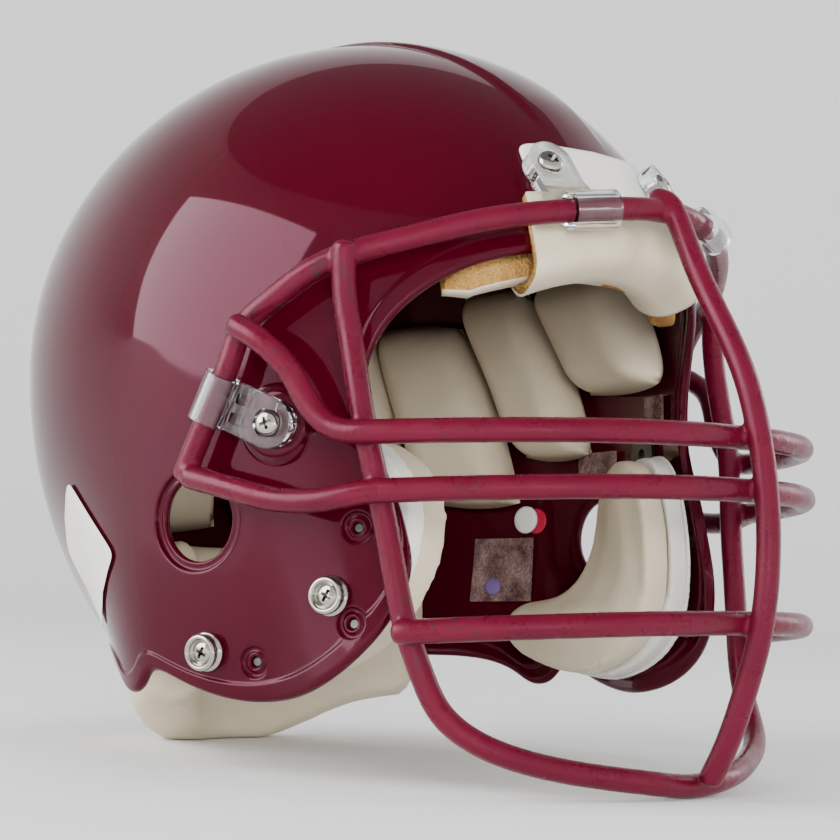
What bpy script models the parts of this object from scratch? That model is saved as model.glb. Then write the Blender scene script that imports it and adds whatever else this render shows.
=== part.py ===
"""American football helmet: a moulded shell, a coated wire face cage held by four clear clips,
snap-in jaw pads, a crown and side liner, a front pad, a neck pad, and the fasteners for all of them.

Frames: every piece is modelled in the helmet's own frame, whose origin is the middle of the shell at
its widest level, with -Y to the front, +Z up and the wearer's left at +X.  The empty "helmet_frame"
then tips it so that the chin bar and the neck pad both stand on the floor, Z = 0, and centres it on Y = 0.
All lengths are metres and all angles are radians unless a name says degrees.
"""

import math

import bmesh
import bpy
from mathutils import Matrix, Vector

# ---- shell -------------------------------------------------------------------------------------
SHELL_HALF_WIDTH = 0.1130
SHELL_HALF_LENGTH = 0.1394
CROWN_HEIGHT = 0.1224
SHELL_WALL = 0.0040
SIDE_TUCK_RADIUS = 0.400       # larger = the wall below the widest level stays more upright
NAPE_TUCK_RADIUS = 0.1507
JAW_FLARE_RADIUS = 0.250
SKIRT_DEPTH = 0.145            # how far below the widest level the uncut shell reaches
RIDGE_HALF_WIDTH = 0.0150
RIDGE_HEIGHT = 0.0016
RIDGE_SLOPE = 0.0030
RIDGE_REAR_END = 10            # degrees round from the back, over the crown, to the front
RIDGE_FRONT_END = 145
RIDGE_STATIONS = 20

# Every place below is drawn on a shell of these sizes, and is stretched with the three sizes above.
DRAWN_HALF_WIDTH, DRAWN_HALF_LENGTH, DRAWN_CROWN_HEIGHT = 0.1130, 0.1394, 0.1224

# Outline of the face opening and the lower edge, seen from the side: (y, z).
BROW_EDGE = ((-0.1360, 0.0310), (-0.1270, 0.0278), (-0.1174, 0.0231), (-0.1095, 0.0168), (-0.1010, 0.0072),
             (-0.0960, -0.0010), (-0.0925, -0.0110), (-0.0910, -0.0230))
JAW_EDGE = ((-0.0925, -0.0370), (-0.0970, -0.0465), (-0.1020, -0.0560), (-0.1055, -0.0672),
            (-0.1075, -0.0780), (-0.1058, -0.0890), (-0.0995, -0.1010), (-0.0900, -0.1105),
            (-0.0760, -0.1185), (-0.0540, -0.1225), (-0.0350, -0.1195), (-0.0210, -0.1145))
EAR_NOTCH_EDGE = ((-0.0100, -0.1128), (-0.0050, -0.1175), (0.0035, -0.1198), (0.0120, -0.1150))
NAPE_EDGE = ((0.0240, -0.1100), (0.0400, -0.1085), (0.1600, -0.1085))

EAR_HOLE_AT = (-0.0330, -0.0612)       # (y, z) on both sides
EAR_HOLE_RADIUS = 0.0142
EAR_RECESS_RADIUS = 0.0178
EAR_RECESS_DEPTH = 0.0016
PAD_HOLES_AT = ((-0.0911, -0.0649), (-0.0912, -0.0962), (-0.0539, -0.1090))
PAD_HOLE_RADIUS = 0.0017
PAD_DISH_RADIUS = 0.0056
PAD_DISH_DEPTH = 0.0012
STRAP_STUDS_AT = ((-0.0838, -0.0873), (-0.0364, -0.1055))

# ---- cage --------------------------------------------------------------------------------------
WIRE_RADIUS = 0.00415
GAP = 0.0003                   # clearance kept between pieces that touch
WIRE_PITCH = 2 * WIRE_RADIUS + GAP     # centre distance of two wires welded side by side

DRAWN_WIRE_PITCH = 0.0086      # the pitch for which the tails of the cross bars are drawn

# Half of each wire, on the wearer's right, from the side to the middle: (x, y, z).
PERIMETER_WIRE = ((-0.1172, -0.0381, -0.0468), (-0.1161, -0.0443, -0.0344), (-0.1133, -0.0564, -0.0090),
                  (-0.1118, -0.0610, 0.0015), (-0.1077, -0.0712, 0.0105), (-0.1028, -0.0808, 0.0180),
                  (-0.0958, -0.0923, 0.0240), (-0.0834, -0.1058, 0.0288), (-0.0675, -0.1203, 0.0344),
                  (-0.0490, -0.1335, 0.0385), (-0.0310, -0.1438, 0.0408), (0.0, -0.1500, 0.0432))
JAW_LOOP_WIRE = ((-0.0968, -0.0968, -0.0040), (-0.0958, -0.1030, -0.0354),
                 (-0.0928, -0.1058, -0.0542), (-0.0900, -0.1090, -0.0760), (-0.0869, -0.1127, -0.0990),
                 (-0.0838, -0.1160, -0.1120), (-0.0803, -0.1215, -0.1250), (-0.0740, -0.1290, -0.1333),
                 (-0.0640, -0.1370, -0.1390), (-0.0500, -0.1448, -0.1431), (-0.0340, -0.1525, -0.1460),
                 (-0.0176, -0.1577, -0.1482), (0.0, -0.1590, -0.1496))
NOSE_WIRE = ((0.0, -0.1611, 0.0267), (0.0, -0.1717, 0.0063), (0.0, -0.1819, -0.0135), (0.0, -0.1883, -0.0359),
             (0.0, -0.1910, -0.0560), (0.0, -0.1908, -0.0800), (0.0, -0.1884, -0.0963), (0.0, -0.1797, -0.1220),
             (0.0, -0.1720, -0.1385))
LOOP_TOP_JOIN = 6              # the point of the perimeter wire that the jaw loop hangs from
UPPER_TAIL_JOIN = 3            # the points of the perimeter wire where two bar tails meet it
MIDDLE_TAIL_JOIN = 0
TOP_CLIP_JOIN = 10             # the point of the perimeter wire that a top clip holds

# The three cross bars: height where each crosses the jaw loop and the nose bar, how sharply its front
# bows, and the rest of the tail that two of them run back along the side.
CROSS_BARS = {
    "upper": {"heights": (-0.0354, -0.0355), "bow": 2.6,
              "tail": ((-0.1172, -0.0751, -0.0044), (-0.1117, -0.0837, -0.0145), (-0.1083, -0.0897, -0.0260),
                       (-0.1052, -0.0982, -0.0338))},
    "middle": {"heights": (-0.0542, -0.0530), "bow": 2.5,
               "tail": ((-0.1158, -0.0600, -0.0520), (-0.1120, -0.0760, -0.0560), (-0.1065, -0.0960, -0.0565))},
    "lower": {"heights": (-0.0990, -0.0962), "bow": 2.6, "tail": ()},
}
CROSS_BAR_STATIONS = 7
CROSSING_SPACING = 1.06 * WIRE_PITCH           # wires cross at a slant, so a little more than the pitch
LOOP_OUTWARD = (-0.76, -0.65, 0.0)             # from the jaw loop to a cross bar in front of it
UPPER_TAIL_OUTWARD = (-0.81, -0.57, -0.13)     # from the perimeter wire to the upper bar's tail
MIDDLE_TAIL_OUTWARD = (0.0, -0.98, -0.20)
LOWER_BAR_OVERHANG = 0.0010

# ---- clips and fasteners -----------------------------------------------------------------------
CLIP_WIDTH = 0.0170
CLIP_TAB_THICKNESS = 0.0055
CLIP_LOOP_WALL = 0.0021
CLIP_WIRE_CLEARANCE = 0.0009
CLIP_FLAT = 0.0100              # from the screw, the length of tab that lies flat before it ramps to the loop
SIDE_CLIP_SCREW_AT = (-0.0649, -0.0303)        # (y, z)
SIDE_BOSS_RADIUS = 0.0105
SIDE_BOSS_HEIGHT = 0.0026
TOP_CLIP_SCREW_AT = (-0.0280, 0.0560)          # (x, z)
SCREW_HEAD_RADIUS = 0.0044
SCREW_HEAD_HEIGHT = 0.0026
SCREW_SHANK_RADIUS = 0.0021
SCREW_HOLE_CLEARANCE = 0.0004
SCREW_REACH = 0.0070           # shank length past the outer face of the shell
COUNTERBORE_DEPTH = 0.0015
TNUT_FLANGE_RADIUS = 0.0085
TNUT_FLANGE_THICKNESS = 0.0014
TNUT_BARREL_RADIUS = 0.0034
STUD_RADIUS = 0.0062
STUD_HEIGHT = 0.0052
STUD_NUT_RADIUS = 0.0050
STUD_NUT_THICKNESS = 0.0022
PAD_RIVET_RADIUS = 0.0042
PAD_RIVET_THICKNESS = 0.0016

# ---- soft parts --------------------------------------------------------------------------------
# Jaw pad seen from the side: (y, z).
JAW_PAD_OUTLINE = ((-0.0770, -0.0315), (-0.0900, -0.0385), (-0.0975, -0.0520), (-0.0990, -0.0710),
                   (-0.0930, -0.0900), (-0.0835, -0.1030), (-0.0700, -0.1110), (-0.0460, -0.1155),
                   (-0.0230, -0.1110), (-0.0080, -0.1060), (-0.0010, -0.0990), (-0.0030, -0.0910),
                   (-0.0110, -0.0860), (-0.0310, -0.0860), (-0.0470, -0.0790), (-0.0565, -0.0690),
                   (-0.0600, -0.0560), (-0.0600, -0.0450), (-0.0660, -0.0360))
JAW_PAD_THICKNESS = 0.0240
JAW_PAD_STANDOFF = 0.0050      # room for the nuts and rivets behind the pad
LINER_THICKNESS = 0.0200
LINER_STANDOFF = 0.0016
TRIM_STANDOFF = 0.0014
# Liner cells: name, plan angle of the middle and half its spread in degrees, lower and upper height.
LINER_CELLS = (("liner_cell_back", 90, 17, -0.055, 0.045), ("liner_cell_rear", 50, 17, -0.050, 0.040),
               ("liner_cell_middle", 11, 17, -0.045, 0.042), ("liner_cell_front", -26, 14, -0.006, 0.044))
CROWN_CELL_HALF_LENGTH = 0.0560
CROWN_CELL_HALF_WIDTH = 0.0460
FRONT_PAD_HALF_ANGLE = 42      # degrees either side of the front
FRONT_PAD_STANDOFF = 0.0034    # room for the top clips' nuts
FRONT_PAD_FOAM = 0.0110
FRONT_PAD_TOP = 0.0700
FRONT_PAD_DROP = 0.0085        # how far the foam hangs below the brow edge
COVER_THICKNESS = 0.0022
COVER_HALF_WIDTH = 0.0420
COVER_OUTER_TOP = 0.0460
NAMEPLATE_HALF_WIDTH = 0.0370
NAMEPLATE_HEIGHTS = (0.0490, 0.0665)
NAMEPLATE_THICKNESS = 0.0010
NECK_PAD_HALF_ANGLE = 65       # degrees either side of the back
NECK_PAD_INSET = 0.0150        # from the inside of the shell's edge to the pad's middle
NECK_PAD_THICKNESS = 0.0260
NECK_PAD_TOP = -0.0640
NECK_PAD_LIP = 0.0050
NECK_PAD_END_RISE = 0.0200
NECK_PAD_EDGE_GAP = 0.0030     # under the lowest point of the nape's edge
NECK_PAD_BOTTOM = -0.1403
LABEL_MIDDLE = (164.5, -0.0710)  # plan angle in degrees, and height
LABEL_HALF = (0.0205, 0.0175)
LABEL_TILT = 42
PATCH_THICKNESS = 0.0012

MATERIALS = {      # name: (red, green, blue), roughness, metallic
    "shell_maroon": ((0.075, 0.002, 0.012), 0.10, 0.0),
    "cage_coating": ((0.130, 0.008, 0.032), 0.32, 0.0),
    "clear_clip": ((0.72, 0.74, 0.76), 0.10, 0.0),
    "nickel": ((0.62, 0.60, 0.56), 0.22, 1.0),
    "steel": ((0.45, 0.45, 0.46), 0.38, 1.0),
    "cream_vinyl": ((0.66, 0.58, 0.45), 0.45, 0.0),
    "tan_foam": ((0.42, 0.24, 0.08), 0.90, 0.0),
    "white_plastic": ((0.78, 0.76, 0.70), 0.40, 0.0),
    "hook_tape": ((0.20, 0.13, 0.14), 0.90, 0.0),
}


# ---- scene helpers -----------------------------------------------------------------------------
def clear_scene():
    for obj in list(bpy.data.objects):
        bpy.data.objects.remove(obj, do_unlink=True)


def make_material(name):
    colour, roughness, metallic = MATERIALS[name]
    material = bpy.data.materials.new(name)
    material.use_nodes = True
    shader = material.node_tree.nodes["Principled BSDF"]
    shader.inputs["Base Color"].default_value = (*colour, 1.0)
    shader.inputs["Roughness"].default_value = roughness
    shader.inputs["Metallic"].default_value = metallic
    material.diffuse_color = (*colour, 1.0)
    return material


def add_mesh(name, mesh_data, material=None):
    """A mesh object in the helmet's frame; with a material it is a part, without one a cutter."""
    mesh = bpy.data.meshes.new(name)
    mesh_data.to_mesh(mesh)
    mesh_data.free()
    mesh.shade_smooth()
    obj = bpy.data.objects.new(name, mesh)
    bpy.context.scene.collection.objects.link(obj)
    if material is None:
        obj.hide_render = True
        obj.display_type = "WIRE"
    else:
        mesh.materials.append(material)
    return obj


def boolean(obj, operation, other):
    modifier = obj.modifiers.new(operation.lower(), "BOOLEAN")
    modifier.operation = operation
    modifier.solver = "EXACT"
    modifier.object = other


def solid_between(rings, closed=False):
    """A closed body from matching rings of points: each ring joined to the next, and the ends capped."""
    mesh = bmesh.new()
    made = [[mesh.verts.new(point) for point in ring] for ring in rings]
    pairs = list(zip(made, made[1:]))
    if closed:
        pairs.append((made[-1], made[0]))
    for first, second in pairs:
        for i in range(len(first)):
            j = (i + 1) % len(first)
            mesh.faces.new((first[i], first[j], second[j], second[i]))
    if not closed:
        mesh.faces.new(made[0])
        mesh.faces.new(made[-1])
    mesh.normal_update()
    bmesh.ops.recalc_face_normals(mesh, faces=mesh.faces)
    return mesh


def solid_of_sheets(outer, inner):
    """A closed body between two matching grids of points."""
    rows, columns = len(outer), len(outer[0])
    mesh = bmesh.new()
    front = [[mesh.verts.new(point) for point in row] for row in outer]
    back = [[mesh.verts.new(point) for point in row] for row in inner]
    for i in range(rows - 1):
        for j in range(columns - 1):
            mesh.faces.new((front[i][j], front[i][j + 1], front[i + 1][j + 1], front[i + 1][j]))
            mesh.faces.new((back[i][j], back[i + 1][j], back[i + 1][j + 1], back[i][j + 1]))
    border = [(0, j) for j in range(columns)] + [(i, columns - 1) for i in range(1, rows)]
    border += [(rows - 1, j) for j in range(columns - 2, -1, -1)] + [(i, 0) for i in range(rows - 2, 0, -1)]
    for (i, j), (k, m) in zip(border, border[1:] + border[:1]):
        mesh.faces.new((front[i][j], back[i][j], back[k][m], front[k][m]))
    bmesh.ops.recalc_face_normals(mesh, faces=mesh.faces)
    return mesh


def axis_matrix(centre, direction):
    """The matrix that carries the Z axis to a direction, at a place."""
    return Matrix.Translation(centre) @ Vector(direction).to_track_quat("Z", "Y").to_matrix().to_4x4()


def lathe(profile, centre, direction, segments=20):
    """A body turned about a direction: profile is (radius, height) pairs from one end of the axis to the other."""
    place = axis_matrix(centre, direction)
    mesh = bmesh.new()
    rings = []
    for radius, height in profile:
        if radius == 0:
            rings.append([mesh.verts.new(place @ Vector((0, 0, height)))])
            continue
        angles = [2 * math.pi * k / segments for k in range(segments)]
        rings.append([mesh.verts.new(place @ Vector((radius * math.cos(a), radius * math.sin(a), height)))
                      for a in angles])
    for first, second in zip(rings, rings[1:]):
        for k in range(segments):
            corners = (first[k % len(first)], first[(k + 1) % len(first)],
                       second[(k + 1) % len(second)], second[k % len(second)])
            mesh.faces.new(tuple(dict.fromkeys(corners)))
    bmesh.ops.recalc_face_normals(mesh, faces=mesh.faces)
    return mesh


def cylinder(radius, low, high, centre, direction, segments=20):
    return lathe(((0, low), (radius, low), (radius, high), (0, high)), centre, direction, segments)


def stretched(points):
    """Drawn places (x, y, z), or (y, z) seen from the side, stretched to the size of this shell."""
    shares = (SHELL_HALF_WIDTH / DRAWN_HALF_WIDTH, SHELL_HALF_LENGTH / DRAWN_HALF_LENGTH,
              CROWN_HEIGHT / DRAWN_CROWN_HEIGHT)
    return [Vector([value * share for value, share in zip(point, shares[3 - len(point):])]) for point in points]


def stretched_height(z):
    return z * CROWN_HEIGHT / DRAWN_CROWN_HEIGHT


def mirrored(points, side):
    """Points given for the wearer's right (side -1), or their mirror image (side +1)."""
    return [Vector((-side * x, y, z)) for x, y, z in points]


# ---- the shell's surface -----------------------------------------------------------------------
def smooth_step(value):
    value = min(max(value, 0.0), 1.0)
    return value * value * (3 - 2 * value)


def lower_curvature(x, y):
    """How fast the wall closes in below the widest level: in at the nape, a little out at the jaw."""
    forward = y / max(math.hypot(x, y), 1e-9)
    nape = smooth_step((forward + 0.1) / 0.8)
    jaw = smooth_step((-forward - 0.5) / 0.35)
    side = 1 - nape - jaw
    return side / SIDE_TUCK_RADIUS**2 + nape / NAPE_TUCK_RADIUS**2 - jaw / JAW_FLARE_RADIUS**2


def plan_scale(x, y, z, offset=0.0):
    """The share of the widest plan outline that the shell has at height z."""
    if z >= 0:
        return math.sqrt(max(1 - (z / (CROWN_HEIGHT + offset)) ** 2, 0.0))
    return math.sqrt(max(1 - lower_curvature(x, y) * z * z, 0.0))


def surface_at(angle, z, offset=0.0):
    """The point of the shell's outer face, moved out by offset, at a plan angle (0 is the left) and height."""
    x = (SHELL_HALF_WIDTH + offset) * math.cos(angle)
    y = (SHELL_HALF_LENGTH + offset) * math.sin(angle)
    scale = plan_scale(x, y, z, offset)
    return Vector((x * scale, y * scale, z))


def side_x(y, z, offset=0.0):
    """Half the width of the shell at a place seen from the side."""
    x = SHELL_HALF_WIDTH
    for _ in range(12):
        scale = plan_scale(x, y, z, offset)
        x = (SHELL_HALF_WIDTH + offset) * math.sqrt(max(scale**2 - (y / (SHELL_HALF_LENGTH + offset)) ** 2, 0.0))
    return x


def side_point(place, side, offset=0.0):
    """The shell's side at a drawn place (y, z), moved out by offset."""
    y, z = stretched([place])[0]
    return Vector((side * side_x(y, z, offset), y, z))


def front_point(x, z, offset=0.0):
    scale = plan_scale(x, -SHELL_HALF_LENGTH, z, offset)
    share = scale**2 - (x / (SHELL_HALF_WIDTH + offset)) ** 2
    return Vector((x, -(SHELL_HALF_LENGTH + offset) * math.sqrt(share), z))


def surface_normal(point):
    """The outward direction of the shell at a point near its surface, from small steps across it."""
    step = 1e-5

    def level(p):
        scale = lower_curvature(p.x, p.y) if p.z < 0 else 1 / CROWN_HEIGHT**2
        return (p.x / SHELL_HALF_WIDTH) ** 2 + (p.y / SHELL_HALF_LENGTH) ** 2 + scale * p.z * p.z

    steps = (Vector((step, 0, 0)), Vector((0, step, 0)), Vector((0, 0, step)))
    return Vector([level(point + move) - level(point - move) for move in steps]).normalized()


def crown_point(x, y, offset=0.0):
    share = 1 - (x / (SHELL_HALF_WIDTH + offset)) ** 2 - (y / (SHELL_HALF_LENGTH + offset)) ** 2
    return Vector((x, y, (CROWN_HEIGHT + offset) * math.sqrt(share)))


def brow_height(y):
    """Height of the brow edge at a place along the helmet."""
    edge = stretched(BROW_EDGE)
    for (y0, z0), (y1, z1) in zip(edge, edge[1:]):
        if y <= y1:
            return z0 + (z1 - z0) * max(y - y0, 0.0) / (y1 - y0)
    return edge[-1][1]


def nape_height():
    return stretched_height(NAPE_EDGE[-1][1])


# ---- shell -------------------------------------------------------------------------------------
def shell_sheet_levels():
    """Heights of the shell's rings, from under the crown down to the end of the skirt."""
    upper = [math.sin(math.radians(degrees)) for degrees in (84, 77, 69, 60, 51, 42, 33, 24, 16, 8, 0)]
    lower = [0.15, 0.30, 0.45, 0.60, 0.72, 0.84, 1.0]
    return upper, lower


def shell_body():
    segments = 48
    angles = [2 * math.pi * k / segments for k in range(segments)]
    upper, lower = shell_sheet_levels()
    mesh = bmesh.new()
    sheets = []
    for offset in (0.0, -SHELL_WALL):
        heights = [share * (CROWN_HEIGHT + offset) for share in upper] + [-share * stretched_height(SKIRT_DEPTH) for share in lower]
        rings = [[mesh.verts.new(surface_at(angle, z, offset)) for angle in angles] for z in heights]
        crown = mesh.verts.new((0, 0, CROWN_HEIGHT + offset))
        for k in range(segments):
            n = (k + 1) % segments
            mesh.faces.new((crown, rings[0][k], rings[0][n]))
            for first, second in zip(rings, rings[1:]):
                mesh.faces.new((first[k], second[k], second[n], first[n]))
        sheets.append(rings)
    outer, inner = sheets[0][-1], sheets[1][-1]
    for k in range(segments):
        n = (k + 1) % segments
        mesh.faces.new((outer[k], inner[k], inner[n], outer[n]))
    bmesh.ops.recalc_face_normals(mesh, faces=mesh.faces)
    return mesh


def ridge_body():
    """The raised band over the crown, rooted in the wall; it sinks into the wall at both ends."""
    rings = []
    for k in range(RIDGE_STATIONS):
        share = k / (RIDGE_STATIONS - 1)
        turn = math.radians(RIDGE_REAR_END + (RIDGE_FRONT_END - RIDGE_REAR_END) * share)
        fade = smooth_step(min(share, 1 - share) / 0.12)
        top = RIDGE_HEIGHT * fade - 0.2 * SHELL_WALL * (1 - fade)
        root = -0.5 * SHELL_WALL
        foot = RIDGE_HALF_WIDTH + RIDGE_SLOPE
        ring = []
        for across, rise in ((-foot, root), (-RIDGE_HALF_WIDTH, top), (0.0, top), (RIDGE_HALF_WIDTH, top),
                             (foot, root), (0.0, root)):
            bulge = math.sqrt(1 - (across / SHELL_HALF_WIDTH) ** 2)
            y = (SHELL_HALF_LENGTH + rise) * math.cos(turn) * bulge
            z = (CROWN_HEIGHT + rise) * math.sin(turn) * bulge
            ring.append((across, y, z))
        rings.append(ring)
    return solid_between(rings)


def side_outline():
    """The outline of what is cut away, seen from the side: the face opening and all below the lower edge."""
    edge = [tuple(place) for place in stretched((*BROW_EDGE, *JAW_EDGE, *EAR_NOTCH_EDGE, *NAPE_EDGE))]
    front, back, below = -0.250, 0.250, -0.250
    return [(front, edge[0][1]), *edge, (back, edge[-1][1]), (back, below), (front, below)]


def make_shell(materials):
    shell = add_mesh("shell", shell_body(), materials["shell_maroon"])
    boolean(shell, "UNION", add_mesh("ridge_tool", ridge_body()))
    for side, label in ((-1, "right"), (1, "left")):
        seat = side_point(SIDE_CLIP_SCREW_AT, side)
        normal = surface_normal(seat)
        boss = lathe(((0, -0.6 * SHELL_WALL), (SIDE_BOSS_RADIUS, -0.6 * SHELL_WALL),
                      (SIDE_BOSS_RADIUS, SIDE_BOSS_HEIGHT - 0.0006),
                      (SIDE_BOSS_RADIUS - 0.0008, SIDE_BOSS_HEIGHT), (0, SIDE_BOSS_HEIGHT)), seat, normal, 24)
        boolean(shell, "UNION", add_mesh(f"boss_tool_{label}", boss))
    reach = 0.200
    outline = side_outline()
    cutter = solid_between([[(x, y, z) for y, z in outline] for x in (-reach, reach)])
    boolean(shell, "DIFFERENCE", add_mesh("opening_tool", cutter))
    for side, label in ((-1, "right"), (1, "left")):
        cut_side_holes(shell, side, label)
        seat = top_clip_seat(side)
        hole = cylinder(TNUT_BARREL_RADIUS + SCREW_HOLE_CLEARANCE, -0.012, 0.012, seat, surface_normal(seat))
        boolean(shell, "DIFFERENCE", add_mesh(f"top_clip_hole_{label}", hole))
    return shell


def cut_side_holes(shell, side, label):
    """Ear hole and its recess, the side clip's hole, the snap dishes and the stud holes of one side."""
    ear = side_point(EAR_HOLE_AT, side)
    normal = surface_normal(ear)
    ear_tool = lathe(((0, -0.030), (EAR_HOLE_RADIUS, -0.030), (EAR_HOLE_RADIUS, -EAR_RECESS_DEPTH - 0.0009),
                      (EAR_RECESS_RADIUS, -EAR_RECESS_DEPTH), (EAR_RECESS_RADIUS, 0.012), (0, 0.012)),
                     ear, normal, 32)
    boolean(shell, "DIFFERENCE", add_mesh(f"ear_hole_{label}", ear_tool))
    seat = side_point(SIDE_CLIP_SCREW_AT, side)
    hole = cylinder(TNUT_BARREL_RADIUS + SCREW_HOLE_CLEARANCE, -0.012, 0.012, seat, surface_normal(seat))
    boolean(shell, "DIFFERENCE", add_mesh(f"side_clip_hole_{label}", hole))
    for number, place in enumerate(PAD_HOLES_AT, 1):
        seat = side_point(place, side)
        dish = lathe(((0, -0.012), (PAD_HOLE_RADIUS, -0.012), (PAD_HOLE_RADIUS, -PAD_DISH_DEPTH - 0.0005),
                      (PAD_DISH_RADIUS - 0.0008, -PAD_DISH_DEPTH), (PAD_DISH_RADIUS, 0.004), (0, 0.004)),
                     seat, surface_normal(seat), 20)
        boolean(shell, "DIFFERENCE", add_mesh(f"pad_hole_{number}_{label}", dish))
    for number, place in enumerate(STRAP_STUDS_AT, 1):
        seat = side_point(place, side)
        hole = cylinder(SCREW_SHANK_RADIUS + SCREW_HOLE_CLEARANCE, -0.012, 0.012, seat, surface_normal(seat), 16)
        boolean(shell, "DIFFERENCE", add_mesh(f"stud_hole_{number}_{label}", hole))


# ---- cage --------------------------------------------------------------------------------------
def wire(name, points, material):
    """A round wire through the given points, with flat ends."""
    curve = bpy.data.curves.new(name, "CURVE")
    curve.dimensions = "3D"
    curve.bevel_depth = WIRE_RADIUS
    curve.bevel_resolution = 2
    curve.use_fill_caps = True
    curve.resolution_u = 2
    spline = curve.splines.new("BEZIER")
    spline.bezier_points.add(len(points) - 1)
    for knot, point in zip(spline.bezier_points, points):
        knot.co = point
        knot.handle_left_type = "AUTO"
        knot.handle_right_type = "AUTO"
    curve.materials.append(material)
    obj = bpy.data.objects.new(name, curve)
    bpy.context.scene.collection.objects.link(obj)
    return obj


def both_sides(half):
    """A whole wire from its right half, whose last point lies on the middle plane."""
    return mirrored(half, -1) + mirrored(half[:-1], 1)[::-1]


def perimeter_half():
    return stretched(PERIMETER_WIRE)


def jaw_loop_half():
    """The jaw loop hangs from the perimeter wire, its top end just clear of it."""
    top = perimeter_half()[LOOP_TOP_JOIN] - Vector((0.0015, 0, 1.12 * WIRE_RADIUS + 5 * GAP))
    return [top, *stretched(JAW_LOOP_WIRE)]


def nose_points():
    """The nose bar runs from just under the perimeter wire to the front of the chin wire."""
    drawn = stretched(NOSE_WIRE)
    top = perimeter_half()[-1]
    chin = jaw_loop_half()[-1]
    start = top + (drawn[0] - top).normalized() * (WIRE_RADIUS + 2 * GAP)
    end = chin + Vector((0, -0.94, 0.35)) * 1.1 * WIRE_PITCH
    return [start, *drawn, end]


def point_at_height(points, z):
    """The point of a falling line of points at a height."""
    for first, second in zip(points, points[1:]):
        if second.z <= z:
            return first.lerp(second, (first.z - z) / (first.z - second.z))
    return points[-1]


def bar_half(bar):
    """The right half of a cross bar: its tail, then a bowed front from the jaw loop to the middle."""
    heights = [stretched_height(z) for z in bar["heights"]]
    side = point_at_height(jaw_loop_half(), heights[0]) + Vector(LOOP_OUTWARD) * CROSSING_SPACING
    middle = point_at_height(nose_points(), heights[1]) + Vector((0, CROSSING_SPACING, 0))
    room = Vector((-1.3 * (WIRE_PITCH - DRAWN_WIRE_PITCH), 0, 0))
    points = [point + room for point in stretched(bar["tail"])]
    if not points:
        points.append(side + Vector((-0.35, 1.0, 0)).normalized() * LOWER_BAR_OVERHANG)
    elif bar is CROSS_BARS["upper"]:
        join = perimeter_half()[UPPER_TAIL_JOIN]
        points.insert(0, join + Vector(UPPER_TAIL_OUTWARD) * 1.08 * WIRE_PITCH)
    else:
        join = perimeter_half()[MIDDLE_TAIL_JOIN]
        points.insert(0, join + Vector(MIDDLE_TAIL_OUTWARD) * 1.5 * WIRE_RADIUS)
    for k in range(CROSS_BAR_STATIONS + 1):
        share = math.sin(0.5 * math.pi * (1 - k / CROSS_BAR_STATIONS))
        bow = share ** bar["bow"]
        points.append(Vector((side.x * share, middle.y + (side.y - middle.y) * bow,
                              middle.z + (side.z - middle.z) * bow)))
    points[-1].x = 0.0
    return points


def make_cage(materials):
    coating = materials["cage_coating"]
    wire("cage_perimeter_wire", both_sides(perimeter_half()), coating)
    wire("cage_jaw_loop", both_sides(jaw_loop_half()), coating)
    for name, bar in CROSS_BARS.items():
        wire(f"cage_{name}_bar", both_sides(bar_half(bar)), coating)
    wire("cage_nose_bar", nose_points(), coating)


# ---- clips and fasteners -----------------------------------------------------------------------
def top_clip_seat(side):
    x, _, z = stretched([(TOP_CLIP_SCREW_AT[0], 0.0, TOP_CLIP_SCREW_AT[1])])[0]
    return front_point(-side * x, z)


def make_clip(name, seat, wire_at, wire_direction, stand_off, material):
    """A clip with a loop round the wire and a tab under the screw; stand_off is its foot above the seat."""
    normal = surface_normal(seat)
    toward = wire_at - seat
    rise = toward.dot(normal)
    toward = toward - normal * rise
    reach = toward.length
    toward.normalize()
    across = normal.cross(toward)
    half = 0.5 * CLIP_WIDTH
    top = stand_off + CLIP_TAB_THICKNESS
    middle = stand_off + 0.5 * CLIP_TAB_THICKNESS
    lift = max(rise - WIRE_RADIUS - middle, 0.0)
    profile = ((0, stand_off), (CLIP_FLAT, stand_off), (reach, stand_off + lift), (reach, top + lift),
               (CLIP_FLAT, top), (0, top))
    sides = [[seat + toward * u + across * v + normal * w for u, w in profile] for v in (-half, half)]
    clip = add_mesh(name, solid_between(sides), material)
    end = cylinder(half + 0.0001, stand_off - 0.0001, top + 0.0001, seat, normal, 24)
    boolean(clip, "UNION", add_mesh(f"{name}_end", end))
    loop_radius = WIRE_RADIUS + CLIP_WIRE_CLEARANCE + CLIP_LOOP_WALL
    loop = cylinder(loop_radius, -half, half, wire_at, wire_direction, 24)
    boolean(clip, "UNION", add_mesh(f"{name}_loop", loop))
    bore = cylinder(WIRE_RADIUS + CLIP_WIRE_CLEARANCE, -2 * half, 2 * half, wire_at, wire_direction, 20)
    boolean(clip, "DIFFERENCE", add_mesh(f"{name}_bore", bore))
    hole = lathe(((0, -0.003), (SCREW_SHANK_RADIUS + SCREW_HOLE_CLEARANCE, -0.003),
                  (SCREW_SHANK_RADIUS + SCREW_HOLE_CLEARANCE, top - COUNTERBORE_DEPTH),
                  (SCREW_HEAD_RADIUS + SCREW_HOLE_CLEARANCE, top - COUNTERBORE_DEPTH),
                  (SCREW_HEAD_RADIUS + SCREW_HOLE_CLEARANCE, top + 0.006), (0, top + 0.006)), seat, normal)
    boolean(clip, "DIFFERENCE", add_mesh(f"{name}_screw_hole", hole))
    return top - COUNTERBORE_DEPTH + GAP


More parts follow.
